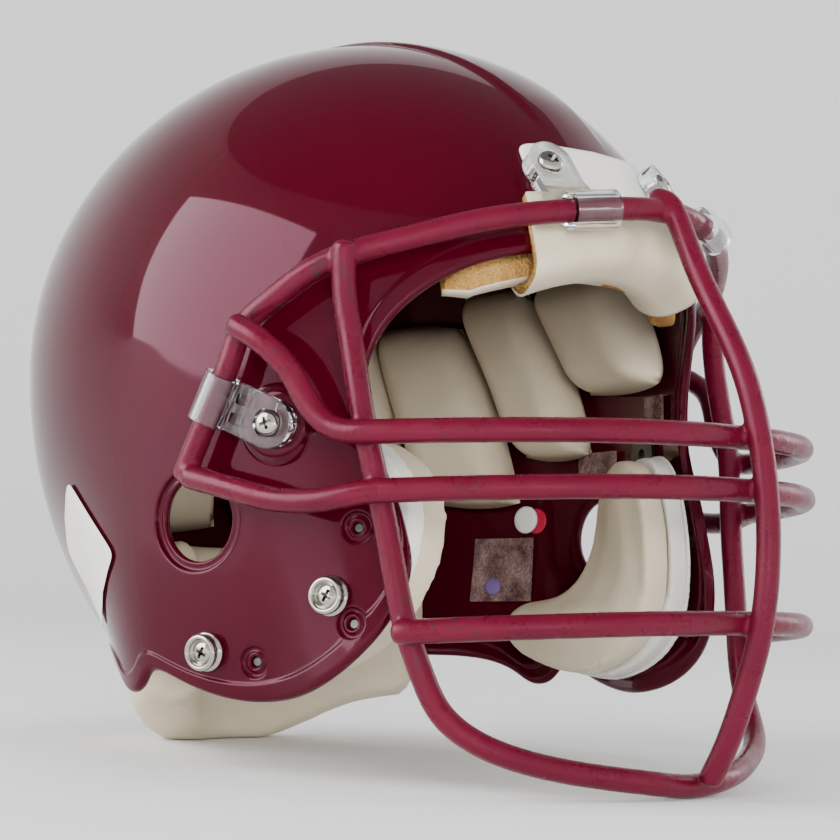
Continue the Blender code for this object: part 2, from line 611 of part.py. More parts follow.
def make_screw(name, seat, head_foot, material):
    """A pan-head screw whose head stands on head_foot above the shell."""
    profile = ((0, -SCREW_REACH), (SCREW_SHANK_RADIUS, -SCREW_REACH), (SCREW_SHANK_RADIUS, head_foot),
               (SCREW_HEAD_RADIUS, head_foot), (SCREW_HEAD_RADIUS, head_foot + 0.6 * SCREW_HEAD_HEIGHT),
               (0.75 * SCREW_HEAD_RADIUS, head_foot + SCREW_HEAD_HEIGHT), (0, head_foot + SCREW_HEAD_HEIGHT))
    add_mesh(name, lathe(profile, seat, surface_normal(seat), 16), material)


def make_tee_nut(name, seat, material):
    """A flanged nut pushed in from inside: its barrel lines the hole in the shell."""
    bore = SCREW_SHANK_RADIUS + SCREW_HOLE_CLEARANCE
    flange_face = -SHELL_WALL - GAP
    foot = flange_face - 0.0009      # the wall is curved, so the flange stands off a little
    profile = ((bore, foot - TNUT_FLANGE_THICKNESS), (TNUT_FLANGE_RADIUS, foot - TNUT_FLANGE_THICKNESS),
               (TNUT_FLANGE_RADIUS, foot), (TNUT_BARREL_RADIUS, foot), (TNUT_BARREL_RADIUS, -0.0006),
               (bore, -0.0006), (bore, foot - TNUT_FLANGE_THICKNESS))
    add_mesh(name, turned_ring(profile[:-1], seat, surface_normal(seat)), material)


def turned_ring(profile, centre, direction, segments=14):
    """A body turned about a direction from a closed profile that stays off the axis."""
    place = axis_matrix(centre, direction)
    rings = []
    for k in range(segments):
        turn = 2 * math.pi * k / segments
        rings.append([place @ Vector((radius * math.cos(turn), radius * math.sin(turn), height))
                      for radius, height in profile])
    return solid_between(rings, closed=True)


def make_clips(materials):
    for side, label in ((-1, "right"), (1, "left")):
        seat = side_point(SIDE_CLIP_SCREW_AT, side)
        wire_points = mirrored(perimeter_half(), side)
        lower, upper = wire_points[1:3]
        foot = SIDE_BOSS_HEIGHT + GAP
        head = make_clip(f"side_clip_{label}", seat, 0.5 * (lower + upper), (upper - lower).normalized(), foot,
                         materials["clear_clip"])
        make_screw(f"side_clip_screw_{label}", seat, head, materials["nickel"])
        make_tee_nut(f"side_clip_nut_{label}", seat, materials["steel"])
        seat = top_clip_seat(side)
        outer, at, inner = wire_points[TOP_CLIP_JOIN - 1:TOP_CLIP_JOIN + 2]
        foot = NAMEPLATE_THICKNESS + 3 * GAP + 0.0004
        direction = ((at - outer).normalized() + (inner - at).normalized()).normalized()
        head = make_clip(f"top_clip_{label}", seat, at, direction, foot, materials["clear_clip"])
        make_screw(f"top_clip_screw_{label}", seat, head, materials["nickel"])
        make_tee_nut(f"top_clip_nut_{label}", seat, materials["steel"])


def make_strap_studs(materials):
    """Chin-strap snap studs, each a turned stud, the screw through it and a nut inside the shell."""
    for side, label in ((-1, "right"), (1, "left")):
        for place, where in zip(STRAP_STUDS_AT, ("front", "rear")):
            seat = side_point(place, side)
            normal = surface_normal(seat)
            bore = SCREW_SHANK_RADIUS + SCREW_HOLE_CLEARANCE
            well = 0.0036
            base = 0.0006
            stud = ((bore, base), (STUD_RADIUS, base), (STUD_RADIUS, 0.0022), (0.82 * STUD_RADIUS, 0.0026),
                    (0.82 * STUD_RADIUS, 0.0034), (0.92 * STUD_RADIUS, 0.0040), (0.92 * STUD_RADIUS, 0.0048),
                    (0.80 * STUD_RADIUS, STUD_HEIGHT), (0.62 * STUD_RADIUS, STUD_HEIGHT),
                    (0.58 * STUD_RADIUS, 0.0026), (bore, 0.0026))
            add_mesh(f"strap_stud_{where}_{label}", turned_ring(stud, seat, normal), materials["nickel"])
            low = -SHELL_WALL - STUD_NUT_THICKNESS - 0.0010
            screw = ((0, low), (SCREW_SHANK_RADIUS, low), (SCREW_SHANK_RADIUS, 0.0026 + GAP),
                     (0.52 * STUD_RADIUS, 0.0026 + GAP), (0.52 * STUD_RADIUS, well), (0.35 * STUD_RADIUS, 0.0042),
                     (0, 0.0042))
            add_mesh(f"strap_stud_screw_{where}_{label}", lathe(screw, seat, normal, 16), materials["nickel"])
            foot = -SHELL_WALL - GAP - 0.0005
            nut = ((bore, foot - STUD_NUT_THICKNESS), (STUD_NUT_RADIUS, foot - STUD_NUT_THICKNESS),
                   (STUD_NUT_RADIUS, foot), (bore, foot))
            add_mesh(f"strap_stud_nut_{where}_{label}", turned_ring(nut, seat, normal, 6), materials["steel"])


def make_pad_rivets(materials):
    """The small studs inside the shell that the jaw pads snap onto, set through the dished holes."""
    for side, label in ((-1, "right"), (1, "left")):
        for number, place in enumerate(PAD_HOLES_AT, 1):
            seat = side_point(place, side)
            foot = -SHELL_WALL - GAP - 0.0004
            shank = PAD_HOLE_RADIUS - GAP
            profile = ((0, foot - PAD_RIVET_THICKNESS), (PAD_RIVET_RADIUS, foot - PAD_RIVET_THICKNESS),
                       (PAD_RIVET_RADIUS, foot), (shank, foot), (shank, -PAD_DISH_DEPTH - 0.0010),
                       (0, -PAD_DISH_DEPTH - 0.0010))
            rivet = lathe(profile, seat, surface_normal(seat), 12)
            add_mesh(f"jaw_pad_snap_{number}_{label}", rivet, materials["steel"])


# ---- soft parts --------------------------------------------------------------------------------
def wall_patch(angles, heights, outer_offset, inner_offset, columns, rows, slant=0.0):
    """A closed solid that lies along the shell, between two plan angles and two heights."""
    outer, inner = [], []
    for i in range(rows + 1):
        z = heights[0] + (heights[1] - heights[0]) * i / rows
        lean = slant * (z - 0.5 * (heights[0] + heights[1]))
        row_angles = [angles[0] + (angles[1] - angles[0]) * j / columns + lean for j in range(columns + 1)]
        outer.append([surface_at(angle, z, outer_offset) for angle in row_angles])
        inner.append([surface_at(angle, z, inner_offset) for angle in row_angles])
    return solid_of_sheets(outer, inner)


def make_liner(materials):
    vinyl = materials["cream_vinyl"]
    crown_length = CROWN_CELL_HALF_LENGTH * SHELL_HALF_LENGTH / DRAWN_HALF_LENGTH
    crown_width = CROWN_CELL_HALF_WIDTH * SHELL_HALF_WIDTH / DRAWN_HALF_WIDTH
    outer = -SHELL_WALL - LINER_STANDOFF
    inner = outer - LINER_THICKNESS
    for name, middle, spread, low, high in LINER_CELLS:
        for side, label in ((1, "_left"), (-1, "_right")):
            if middle == 90:
                label = ""
                if side < 0:
                    continue
            centre = math.radians(middle if side > 0 else 180 - middle)
            half = math.radians(spread)
            cell = wall_patch((centre - half, centre + half), (low, high), outer, inner, 5, 5)
            add_mesh(name + label, cell, vinyl)
    count = 6
    sheets = []
    for offset in (outer, inner):
        rows = []
        for i in range(count + 1):
            y = crown_length * (2 * i / count - 1)
            rows.append([crown_point(crown_width * (2 * j / count - 1), y, offset)
                         for j in range(count + 1)])
        sheets.append(rows)
    add_mesh("liner_crown_cell", solid_of_sheets(*sheets), vinyl)


def jaw_pad_body(side):
    outer, inner = [], []
    for place in JAW_PAD_OUTLINE:
        outer.append(side_point(place, side, -SHELL_WALL - JAW_PAD_STANDOFF))
        inner.append(side_point(place, side, -SHELL_WALL - JAW_PAD_STANDOFF - JAW_PAD_THICKNESS))
    return solid_between([outer, inner])


def make_jaw_pads(materials):
    for side, label in ((-1, "right"), (1, "left")):
        add_mesh(f"jaw_pad_{label}", jaw_pad_body(side), materials["cream_vinyl"])


def make_front_pad(materials):
    """Foam inside the brow, and the vinyl cover that wraps from the foam round the brow edge to the front."""
    half = math.radians(FRONT_PAD_HALF_ANGLE)
    stations = 12
    outer = -SHELL_WALL - FRONT_PAD_STANDOFF
    inner = outer - FRONT_PAD_FOAM
    foam_rings, cover_rings = [], []
    for k in range(stations + 1):
        angle = -math.pi / 2 + half * (2 * k / stations - 1)
        brow = brow_height(surface_at(angle, 0.025).y)
        foot = brow - FRONT_PAD_DROP
        foam_rings.append([surface_at(angle, z, offset) for offset, z in (
            (outer, foot), (outer, 0.5 * (foot + FRONT_PAD_TOP)), (outer, FRONT_PAD_TOP),
            (inner, FRONT_PAD_TOP), (inner, 0.5 * (foot + FRONT_PAD_TOP)), (inner, foot))])
    add_mesh("front_pad_foam", solid_between(foam_rings), materials["tan_foam"])
    cover_half = math.asin(COVER_HALF_WIDTH / SHELL_HALF_WIDTH)
    liner = inner - 2 * GAP
    face = 2 * GAP
    for k in range(stations + 1):
        angle = -math.pi / 2 + cover_half * (2 * k / stations - 1)
        brow = brow_height(surface_at(angle, 0.025).y)
        foot = brow - FRONT_PAD_DROP
        ledge = foot - GAP
        middle = 0.5 * (foot + FRONT_PAD_TOP)
        cover_rings.append([surface_at(angle, z, offset) for offset, z in (
            (face, COVER_OUTER_TOP), (face, brow - GAP), (face, ledge), (outer, ledge), (liner, ledge),
            (liner, middle), (liner, FRONT_PAD_TOP), (liner - COVER_THICKNESS, FRONT_PAD_TOP),
            (liner - COVER_THICKNESS, middle), (liner - COVER_THICKNESS, ledge - COVER_THICKNESS),
            (face + COVER_THICKNESS, ledge - COVER_THICKNESS), (face + COVER_THICKNESS, brow),
            (face + COVER_THICKNESS, COVER_OUTER_TOP))])
    add_mesh("front_pad_cover", solid_between(cover_rings), materials["cream_vinyl"])


def make_nameplate(materials):
    half = math.asin(NAMEPLATE_HALF_WIDTH / SHELL_HALF_WIDTH)
    angles = (-math.pi / 2 - half, -math.pi / 2 + half)
    plate = wall_patch(angles, NAMEPLATE_HEIGHTS, 2 * GAP + NAMEPLATE_THICKNESS, 2 * GAP, 12, 2)
    obj = add_mesh("nameplate", plate, materials["white_plastic"])
    for side, label in ((-1, "right"), (1, "left")):
        seat = top_clip_seat(side)
        hole = cylinder(TNUT_BARREL_RADIUS + SCREW_HOLE_CLEARANCE, -0.012, 0.012, seat, surface_normal(seat), 16)
        boolean(obj, "DIFFERENCE", add_mesh(f"nameplate_hole_{label}", hole))


def rest_slope():
    """Slope of the floor in the helmet's frame, through the chin bar and the neck pad."""
    chin = jaw_loop_half()[-1]
    fall = stretched_height(NECK_PAD_BOTTOM) - (chin.z - WIRE_RADIUS)
    return math.atan2(fall, neck_pad_middle(0.5 * math.pi).y - chin.y)


def neck_pad_middle(angle):
    """Middle line of the neck pad, inside the nape, at a plan angle."""
    return surface_at(angle, nape_height(), -SHELL_WALL - NECK_PAD_INSET)


def make_neck_pad(materials):
    """A crescent cushion under the nape: its bottom stands on the floor and rises to both ends."""
    slope = math.tan(rest_slope())
    pad_y = neck_pad_middle(0.5 * math.pi).y
    shoulder = nape_height() - NECK_PAD_EDGE_GAP
    top = stretched_height(NECK_PAD_TOP)
    stations = 14
    rings = []
    for k in range(stations + 1):
        share = 2 * k / stations - 1
        angle = 0.5 * math.pi + math.radians(NECK_PAD_HALF_ANGLE) * share
        middle = neck_pad_middle(angle)
        along = neck_pad_middle(angle + 1e-3) - neck_pad_middle(angle - 1e-3)
        out = Vector((along.y, -along.x, 0)).normalized()
        end = smooth_step((abs(share) - 0.45) / 0.55)
        floor = stretched_height(NECK_PAD_BOTTOM) + (middle.y - pad_y) * slope + NECK_PAD_END_RISE * end
        half = 0.5 * NECK_PAD_THICKNESS * (1 - 0.2 * end)
        lip = NECK_PAD_LIP * (1 - end)
        ring = []
        for across, z in ((-0.6 * half, floor - 0.6 * half * out.y * slope), (-half, floor + 0.0060),
                          (-half, top - 0.0060), (-0.7 * half, top),
                          (0.0, top), (0.3 * half, top - 0.0060),
                          (0.3 * half, shoulder - 0.0060), (half, shoulder - 0.0015),
                          (half + lip, shoulder - 0.0030), (half + lip, floor + 0.0080),
                          (0.6 * half, floor + 0.6 * half * out.y * slope)):
            point = middle + out * across
            ring.append((point.x, point.y, z))
        rings.append(ring)
    add_mesh("neck_pad", solid_between(rings), materials["cream_vinyl"])


def label_point(u, v, offset):
    """A point of the back label, which lies on the shell turned by LABEL_TILT; u and v run from -1 to 1."""
    along, across = LABEL_HALF[0] * u, LABEL_HALF[1] * v
    tilt = math.radians(LABEL_TILT)
    sideways = along * math.cos(tilt) - across * math.sin(tilt)
    height = LABEL_MIDDLE[1] - along * math.sin(tilt) - across * math.cos(tilt)
    return surface_at(math.radians(LABEL_MIDDLE[0]) + sideways / (0.88 * SHELL_HALF_LENGTH), height, offset)


def make_trim(materials):
    """Hook-tape patches inside the shell, and the blank label on its back."""
    inside = -SHELL_WALL - TRIM_STANDOFF
    patches = (("hook_tape_front_left", (-36, -29), (-0.0195, -0.0080)),
               ("hook_tape_upper_left", (-19, -9), (-0.0440, -0.0270)),
               ("hook_tape_rear_left", (2, 14), (-0.0860, -0.0600)),
               ("hook_tape_rear_right", (166, 178), (-0.0860, -0.0600)))
    for name, angles, heights in patches:
        turns = tuple(math.radians(angle) for angle in angles)
        tape = wall_patch(turns, heights, inside, inside - PATCH_THICKNESS, 4, 3)
        add_mesh(name, tape, materials["hook_tape"])
    sheets = []
    for offset in (4 * GAP, 3 * GAP):
        sheets.append([[label_point(2 * i / 6 - 1, 2 * j / 6 - 1, offset) for j in range(7)] for i in range(7)])
    add_mesh("rear_label", solid_of_sheets(*sheets), materials["white_plastic"])


def stand_on_floor():
    """Tips and lifts the whole helmet, so that the chin bar and the neck pad stand at Z = 0, centred on Y = 0."""
    frame = bpy.data.objects.new("helmet_frame", None)
    bpy.context.scene.collection.objects.link(frame)
    parts = [obj for obj in bpy.context.scene.objects if obj is not frame]
    turn = Matrix.Rotation(-rest_slope(), 4, "X")
    graph = bpy.context.evaluated_depsgraph_get()
    reaches = []
    for obj in parts:
        obj.parent = frame
        if not obj.hide_render:
            mesh = obj.evaluated_get(graph).to_mesh()
            reaches += [(turn @ vertex.co).y for vertex in mesh.vertices]
    chin = turn @ jaw_loop_half()[-1]
    frame.rotation_euler.x = -rest_slope()
    frame.location = (0, -0.5 * (min(reaches) + max(reaches)), WIRE_RADIUS - chin.z)


def main():
    clear_scene()
    materials = {name: make_material(name) for name in MATERIALS}
    make_shell(materials)
    make_cage(materials)
    make_clips(materials)
    make_strap_studs(materials)
    make_pad_rivets(materials)
    make_liner(materials)
    make_jaw_pads(materials)
    make_front_pad(materials)
    make_nameplate(materials)
    make_neck_pad(materials)
    make_trim(materials)
    stand_on_floor()


main()
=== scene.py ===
"""American football helmet, the visual model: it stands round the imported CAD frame, in metres.

The shell, cage and pads are drawn in the helmet's own frame (origin at the middle of the shell's widest
level, -Y front, +X the wearer's left) and then placed by HELMET, which tips it onto its neck pad.
"""

import math

import bmesh
import bpy
import numpy as np
from mathutils import Matrix, Vector


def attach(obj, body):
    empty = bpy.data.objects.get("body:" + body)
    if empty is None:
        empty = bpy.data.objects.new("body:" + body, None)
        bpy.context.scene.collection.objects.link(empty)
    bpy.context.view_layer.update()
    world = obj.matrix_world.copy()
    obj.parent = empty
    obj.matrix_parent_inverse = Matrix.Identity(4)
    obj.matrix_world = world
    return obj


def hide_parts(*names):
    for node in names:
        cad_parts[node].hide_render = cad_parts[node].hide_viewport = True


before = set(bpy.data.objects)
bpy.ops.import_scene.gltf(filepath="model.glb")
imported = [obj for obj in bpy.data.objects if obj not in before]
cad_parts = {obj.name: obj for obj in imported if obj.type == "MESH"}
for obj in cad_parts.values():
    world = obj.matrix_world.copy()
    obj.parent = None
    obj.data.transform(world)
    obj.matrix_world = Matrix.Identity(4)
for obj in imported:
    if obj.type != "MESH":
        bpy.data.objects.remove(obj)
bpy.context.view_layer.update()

HELMET = Matrix.Translation((0, 0.02994987, 0.14471741)) @ Matrix.Rotation(-0.05539397, 4, "X")

# ---- sizes shared with the CAD model -------------------------------------------------------------
HALF_WIDTH = 0.1130
HALF_LENGTH = 0.1394
CROWN = 0.1224
WALL = 0.0040
SIDE_TUCK = 0.400
NAPE_TUCK = 0.1507
JAW_FLARE = 0.250
RIDGE_HALF_WIDTH = 0.0150
RIDGE_HEIGHT = 0.0016
WIRE = 0.00415

BROW_EDGE = ((-0.1360, 0.0310), (-0.1270, 0.0278), (-0.1174, 0.0231), (-0.1095, 0.0168), (-0.1010, 0.0072),
             (-0.0960, -0.0010), (-0.0925, -0.0110), (-0.0910, -0.0230))
JAW_EDGE = ((-0.0925, -0.0370), (-0.0970, -0.0465), (-0.1020, -0.0560), (-0.1055, -0.0672),
            (-0.1075, -0.0780), (-0.1058, -0.0890), (-0.0995, -0.1010), (-0.0900, -0.1105),
            (-0.0760, -0.1185), (-0.0540, -0.1225), (-0.0350, -0.1195), (-0.0210, -0.1145))
EAR_NOTCH_EDGE = ((-0.0100, -0.1128), (-0.0050, -0.1175), (0.0035, -0.1198), (0.0120, -0.1150))
NAPE_EDGE = ((0.0240, -0.1100), (0.0400, -0.1085), (0.0700, -0.1085), (0.1000, -0.1085))

EAR_HOLE = (-0.0330, -0.0612)
SNAP_HOLES = ((-0.0911, -0.0649), (-0.0912, -0.0962), (-0.0539, -0.1090))
STRAP_STUDS = ((-0.0838, -0.0873), (-0.0364, -0.1055))
SIDE_SCREW = (-0.0649, -0.0303)
TOP_SCREW = (-0.0280, 0.0560)

SIDES = ((-1, "right"), (1, "left"))

PERIMETER_WIRE = ((-0.1172, -0.0381, -0.0468), (-0.1161, -0.0443, -0.0344), (-0.1133, -0.0564, -0.0090),
                  (-0.1118, -0.0610, 0.0015), (-0.1077, -0.0712, 0.0105), (-0.1028, -0.0808, 0.0180),
                  (-0.0958, -0.0923, 0.0240), (-0.0834, -0.1058, 0.0288), (-0.0675, -0.1203, 0.0344),
                  (-0.0490, -0.1335, 0.0385), (-0.0310, -0.1438, 0.0408), (0.0, -0.1500, 0.0432))
JAW_LOOP_WIRE = ((-0.0983, -0.0953, 0.0262), (-0.0978, -0.0945, 0.0160), (-0.0968, -0.0968, -0.0040),
                 (-0.0958, -0.1030, -0.0354), (-0.0928, -0.1058, -0.0542), (-0.0900, -0.1090, -0.0760),
                 (-0.0869, -0.1127, -0.0990), (-0.0838, -0.1160, -0.1120), (-0.0803, -0.1215, -0.1250),
                 (-0.0740, -0.1290, -0.1333), (-0.0640, -0.1370, -0.1390), (-0.0500, -0.1448, -0.1431),
                 (-0.0340, -0.1525, -0.1460), (-0.0176, -0.1577, -0.1482), (0.0, -0.1590, -0.1496))
NOSE_WIRE = ((0.0, -0.1466, 0.0479), (0.0, -0.1508, 0.0462), (0.0, -0.1548, 0.0408), (0.0, -0.1611, 0.0267),
             (0.0, -0.1717, 0.0063), (0.0, -0.1819, -0.0135), (0.0, -0.1883, -0.0359),
             (0.0, -0.1910, -0.0560), (0.0, -0.1908, -0.0800), (0.0, -0.1884, -0.0963),
             (0.0, -0.1797, -0.1220), (0.0, -0.1720, -0.1385), (0.0, -0.1668, -0.1468))
CROSS_BARS = {
    "upper": {"heights": (-0.0354, -0.0355), "bow": 2.6,
              "tail": ((-0.1192, -0.0655, 0.0012), (-0.1172, -0.0751, -0.0044), (-0.1117, -0.0837, -0.0145),
                       (-0.1083, -0.0897, -0.0260), (-0.1052, -0.0982, -0.0338))},
    "middle": {"heights": (-0.0542, -0.0530), "bow": 2.5,
               "tail": ((-0.1178, -0.0415, -0.0475), (-0.1158, -0.0600, -0.0520), (-0.1120, -0.0760, -0.0560),
                        (-0.1065, -0.0960, -0.0565))},
    "lower": {"heights": (-0.0990, -0.0962), "bow": 2.6, "tail": ()},
}
WELD_SPACING = 0.0079          # centre distance of two crossing wires, pressed together at the weld
LOOP_OUTWARD = np.array((-0.76, -0.65, 0.0))


# ---- small helpers -------------------------------------------------------------------------------
def smooth(value):
    value = np.clip(value, 0.0, 1.0)
    return value * value * (3 - 2 * value)


def unit(vectors):
    vectors = np.asarray(vectors, float)
    return vectors / np.maximum(np.linalg.norm(vectors, axis=-1, keepdims=True), 1e-12)


def spline(points, count):
    """Evenly spaced points on a natural cubic spline through the given ones."""
    points = np.asarray(points, float)
    knots = np.r_[0, np.cumsum(np.linalg.norm(np.diff(points, axis=0), axis=1))]
    gaps = np.diff(knots)
    size = len(points)
    system = np.eye(size)
    right = np.zeros_like(points)
    for i in range(1, size - 1):
        system[i, i - 1:i + 2] = gaps[i - 1], 2 * (gaps[i - 1] + gaps[i]), gaps[i]
        right[i] = 6 * ((points[i + 1] - points[i]) / gaps[i] - (points[i] - points[i - 1]) / gaps[i - 1])
    bend = np.linalg.solve(system, right)
    fine = np.linspace(0, knots[-1], 6 * count)
    k = np.clip(np.searchsorted(knots, fine, side="right") - 1, 0, size - 2)
    a = ((knots[k + 1] - fine) / gaps[k])[:, None]
    b = 1 - a
    curve = a * points[k] + b * points[k + 1]
    curve += ((a**3 - a) * bend[k] + (b**3 - b) * bend[k + 1]) * (gaps[k]**2)[:, None] / 6
    return resampled(curve, count)


def resampled(curve, count):
    """The same line of points, evenly spaced along its length."""
    length = np.r_[0, np.cumsum(np.linalg.norm(np.diff(curve, axis=0), axis=1))]
    even = np.linspace(0, length[-1], count)
    return np.stack([np.interp(even, length, curve[:, axis]) for axis in range(curve.shape[1])], 1)


def placed(points):
    """Points of the helmet's own frame, in the frame that everything stands in."""
    turn = np.array(HELMET.to_3x3())
    return np.asarray(points, float) @ turn.T + np.array(HELMET.translation)


def link(name, mesh, material, body="helmet"):
    obj = bpy.data.objects.new(name, mesh)
    bpy.context.scene.collection.objects.link(obj)
    mesh.materials.append(material)
    mesh.shade_smooth()
    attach(obj, body)
    return obj


def mesh_of(name, points, faces):
    mesh = bpy.data.meshes.new(name)
    mesh.from_pydata(placed(points).tolist(), [], [tuple(int(i) for i in face) for face in faces])
    mesh.update()
    return mesh


def face_out(mesh):
    data = bmesh.new()
    data.from_mesh(mesh)
    bmesh.ops.recalc_face_normals(data, faces=data.faces)
    data.to_mesh(mesh)
    data.free()


def drawn(name, shape, material, body="helmet"):
    """A drawn piece made from (points, faces), with its faces turned outward."""
    mesh = mesh_of(name, *shape)
    face_out(mesh)
    return link(name, mesh, material, body)


def dress(obj, material):
    """Leaves one material on an object."""
    obj.data.materials.clear()
    obj.data.materials.append(material)


def padded_piece(piece, slot, fill, *nodes):
    """Hides the CAD nodes that a soft piece stands for; the piece, its slot and fill are not used."""
    if nodes:
        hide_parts(*nodes)


def loft(rings, cap=True, loop=False):
    """(points, faces) of a surface through matching closed rings of points."""
    rings = [np.asarray(ring, float) for ring in rings]
    width = len(rings[0])
    points = np.concatenate(rings)
    faces = []
    count = len(rings)
    for i in range(count if loop else count - 1):
        first, second = i * width, ((i + 1) % count) * width
        for j in range(width):
            k = (j + 1) % width
            faces.append((first + j, first + k, second + k, second + j))
    if cap and not loop:
        faces.append(tuple(range(width))[::-1])
        faces.append(tuple(range((count - 1) * width, count * width)))
    return points, faces


TUBE_SEGMENTS = 24


def tube(path, radius):
    """(points, faces) of a round tube along a path, with a rounded end at both ends."""
    path = np.asarray(path, float)
    along = unit(np.gradient(path, axis=0))
    side = unit(np.cross(along[0], (0.31, 0.2, 0.93)))
    turns = 2 * np.pi * np.arange(TUBE_SEGMENTS) / TUBE_SEGMENTS
    rings = []
    sides = []
    for direction in along:
        side = unit(side - direction * (side @ direction))
        sides.append(side)
    frames = list(zip(sides, along))
    steps = np.radians((80, 60, 40, 20))
    head = [path[0] - along[0] * radius * 0.6 * math.sin(a) for a in steps]
    tail = [path[-1] + along[-1] * radius * 0.6 * math.sin(a) for a in steps[::-1]]
    narrowing = [radius * math.cos(a) for a in steps]
    centres = head + list(path) + tail
    radii = narrowing + [radius] * len(path) + narrowing[::-1]
    frames = [frames[0]] * len(head) + frames + [frames[-1]] * len(tail)
    for centre, size, (u, direction) in zip(centres, radii, frames):
        v = np.cross(direction, u)
        rings.append(centre + size * (np.cos(turns)[:, None] * u + np.sin(turns)[:, None] * v))
    return loft(rings)


# ---- the shell's surface -------------------------------------------------------------------------
def lower_curvature(points):
    forward = points[..., 1] / np.maximum(np.hypot(points[..., 0], points[..., 1]), 1e-9)
    nape = smooth((forward + 0.1) / 0.8)
    jaw = smooth((-forward - 0.5) / 0.35)
    return (1 - nape - jaw) / SIDE_TUCK**2 + nape / NAPE_TUCK**2 - jaw / JAW_FLARE**2


def level(points):
    """1 on the shell's outer face, more outside."""
    points = np.asarray(points, float)
    x, y, z = points[..., 0], points[..., 1], points[..., 2]
    upright = np.where(z < 0, lower_curvature(points), 1 / CROWN**2)
    return (x / HALF_WIDTH)**2 + (y / HALF_LENGTH)**2 + upright * z * z


def on_shell(directions):
    """Where rays from the middle leave the shell's outer face."""
    directions = np.asarray(directions, float)
    return directions / np.sqrt(level(directions))[..., None]


def normal_at(points):
    points = np.asarray(points, float)
    step = 2e-4
    moves = np.eye(3) * step
    slopes = [level(points + move) - level(points - move) for move in moves]
    return unit(np.stack(slopes, -1))


def dropped(points, directions):
    """Points moved along given directions onto the shell's outer face."""
    points = np.array(points, float)
    directions = np.broadcast_to(np.asarray(directions, float), points.shape)
    for _ in range(6):
        here = level(points) - 1
        slope = (level(points + directions * 1e-5) - level(points - directions * 1e-5)) / 2e-5
        points -= directions * (here / slope)[..., None]
    return points


def side_seat(place, side):
    """(point, normal) of the shell's outer face at a place (y, z) seen from the side."""
    y, z = place
    start = np.array((side * 0.11, y, z))
    point = dropped(start[None], np.array((1.0, 0, 0)))[0]
    return point, normal_at(point[None])[0]


def top_seat(side):
    x, z = TOP_SCREW
    point = dropped(np.array([(-side * x, -0.12, z)]), np.array((0, 1.0, 0)))[0]
    return point, normal_at(point[None])[0]


def tangents(normal, up=(0, 0, 1)):
    across = unit(np.cross(up, normal))
    return across, np.cross(normal, across)


# ---- materials -----------------------------------------------------------------------------------
class Nodes:
    """A material's node tree with short calls to add and join nodes."""

    def __init__(self, name):
        self.material = bpy.data.materials.new(name)
        self.material.use_nodes = True
        self.tree = self.material.node_tree
        self.shader = self.tree.nodes["Principled BSDF"]
        self.place = self.add("ShaderNodeTexCoord").outputs["Object"]

    def add(self, kind, **values):
        node = self.tree.nodes.new(kind)
        for key, value in values.items():
            setattr(node, key, value)
        return node

    def join(self, out, into):
        self.tree.links.new(out, into)

    def set(self, **values):
        for key, value in values.items():
            socket = self.shader.inputs[key.replace("_", " ")]
            socket.default_value = (*value, 1.0) if isinstance(value, tuple) else value

    def stretched(self, scale):
        node = self.add("ShaderNodeMapping")
        node.inputs["Scale"].default_value = scale
        self.join(self.place, node.inputs["Vector"])
        return node.outputs["Vector"]

    def noise(self, scale, detail=3.0, rough=0.5, vector=None):
        node = self.add("ShaderNodeTexNoise")
        node.inputs["Scale"].default_value = scale
        node.inputs["Detail"].default_value = detail
        node.inputs["Roughness"].default_value = rough
        self.join(vector or self.place, node.inputs["Vector"])
        return node.outputs["Fac"]

    def voronoi(self, scale):
        node = self.add("ShaderNodeTexVoronoi", feature="F1")
        node.inputs["Scale"].default_value = scale
        self.join(self.place, node.inputs["Vector"])
        return node.outputs["Distance"]

    def ramp(self, fac, *stops):
        """Colours or plain numbers along 0 to 1; stops are (position, value)."""
        node = self.add("ShaderNodeValToRGB")
        elements = node.color_ramp.elements
        while len(elements) < len(stops):
            elements.new(0.5)
        for element, (position, value) in zip(elements, stops):
            element.position = position
            element.color = (*value, 1.0) if isinstance(value, tuple) else (value, value, value, 1.0)
        self.join(fac, node.inputs["Fac"])
        return node.outputs["Color"]

    def mix(self, fac, first, second):
        """first where fac is 0, second where it is 1; each is a colour or a socket."""
        node = self.add("ShaderNodeMix", data_type="RGBA")
        self.join(fac, node.inputs["Factor"])
        for socket, value in ((node.inputs["A"], first), (node.inputs["B"], second)):
            if isinstance(value, tuple):
                socket.default_value = (*value, 1.0)
            else:
                self.join(value, socket)
        return node.outputs["Result"]

    def bump(self, height, strength, distance=0.001):
        node = self.add("ShaderNodeBump")
        node.inputs["Strength"].default_value = strength
        node.inputs["Distance"].default_value = distance
        self.join(height, node.inputs["Height"])
        self.join(node.outputs["Normal"], self.shader.inputs["Normal"])

    def colour(self, socket):
        self.join(socket, self.shader.inputs["Base Color"])

    def rough(self, socket):
        self.join(socket, self.shader.inputs["Roughness"])


def shell_material():
    """Deep maroon polycarbonate: a clean gloss, broken by hairline scratches and faint handling marks."""
    made = Nodes("maroon_shell")
    cloud = made.noise(9.0, 4.0)
    made.colour(made.ramp(cloud, (0.30, (0.034, 0.0002, 0.0036)), (0.70, (0.046, 0.0003, 0.0050))))
    scratch = made.noise(150.0, 2.0, 0.5, made.stretched((1.0, 0.06, 0.5)))
    made.rough(made.ramp(scratch, (0.20, 0.22), (0.27, 0.045), (0.75, 0.045), (0.80, 0.18)))
    made.bump(made.noise(55.0, 2.0), 0.006, 0.002)
    made.set(Specular_IOR_Level=0.30, Specular_Tint=(1.0, 0.50, 0.70))
    return made.material


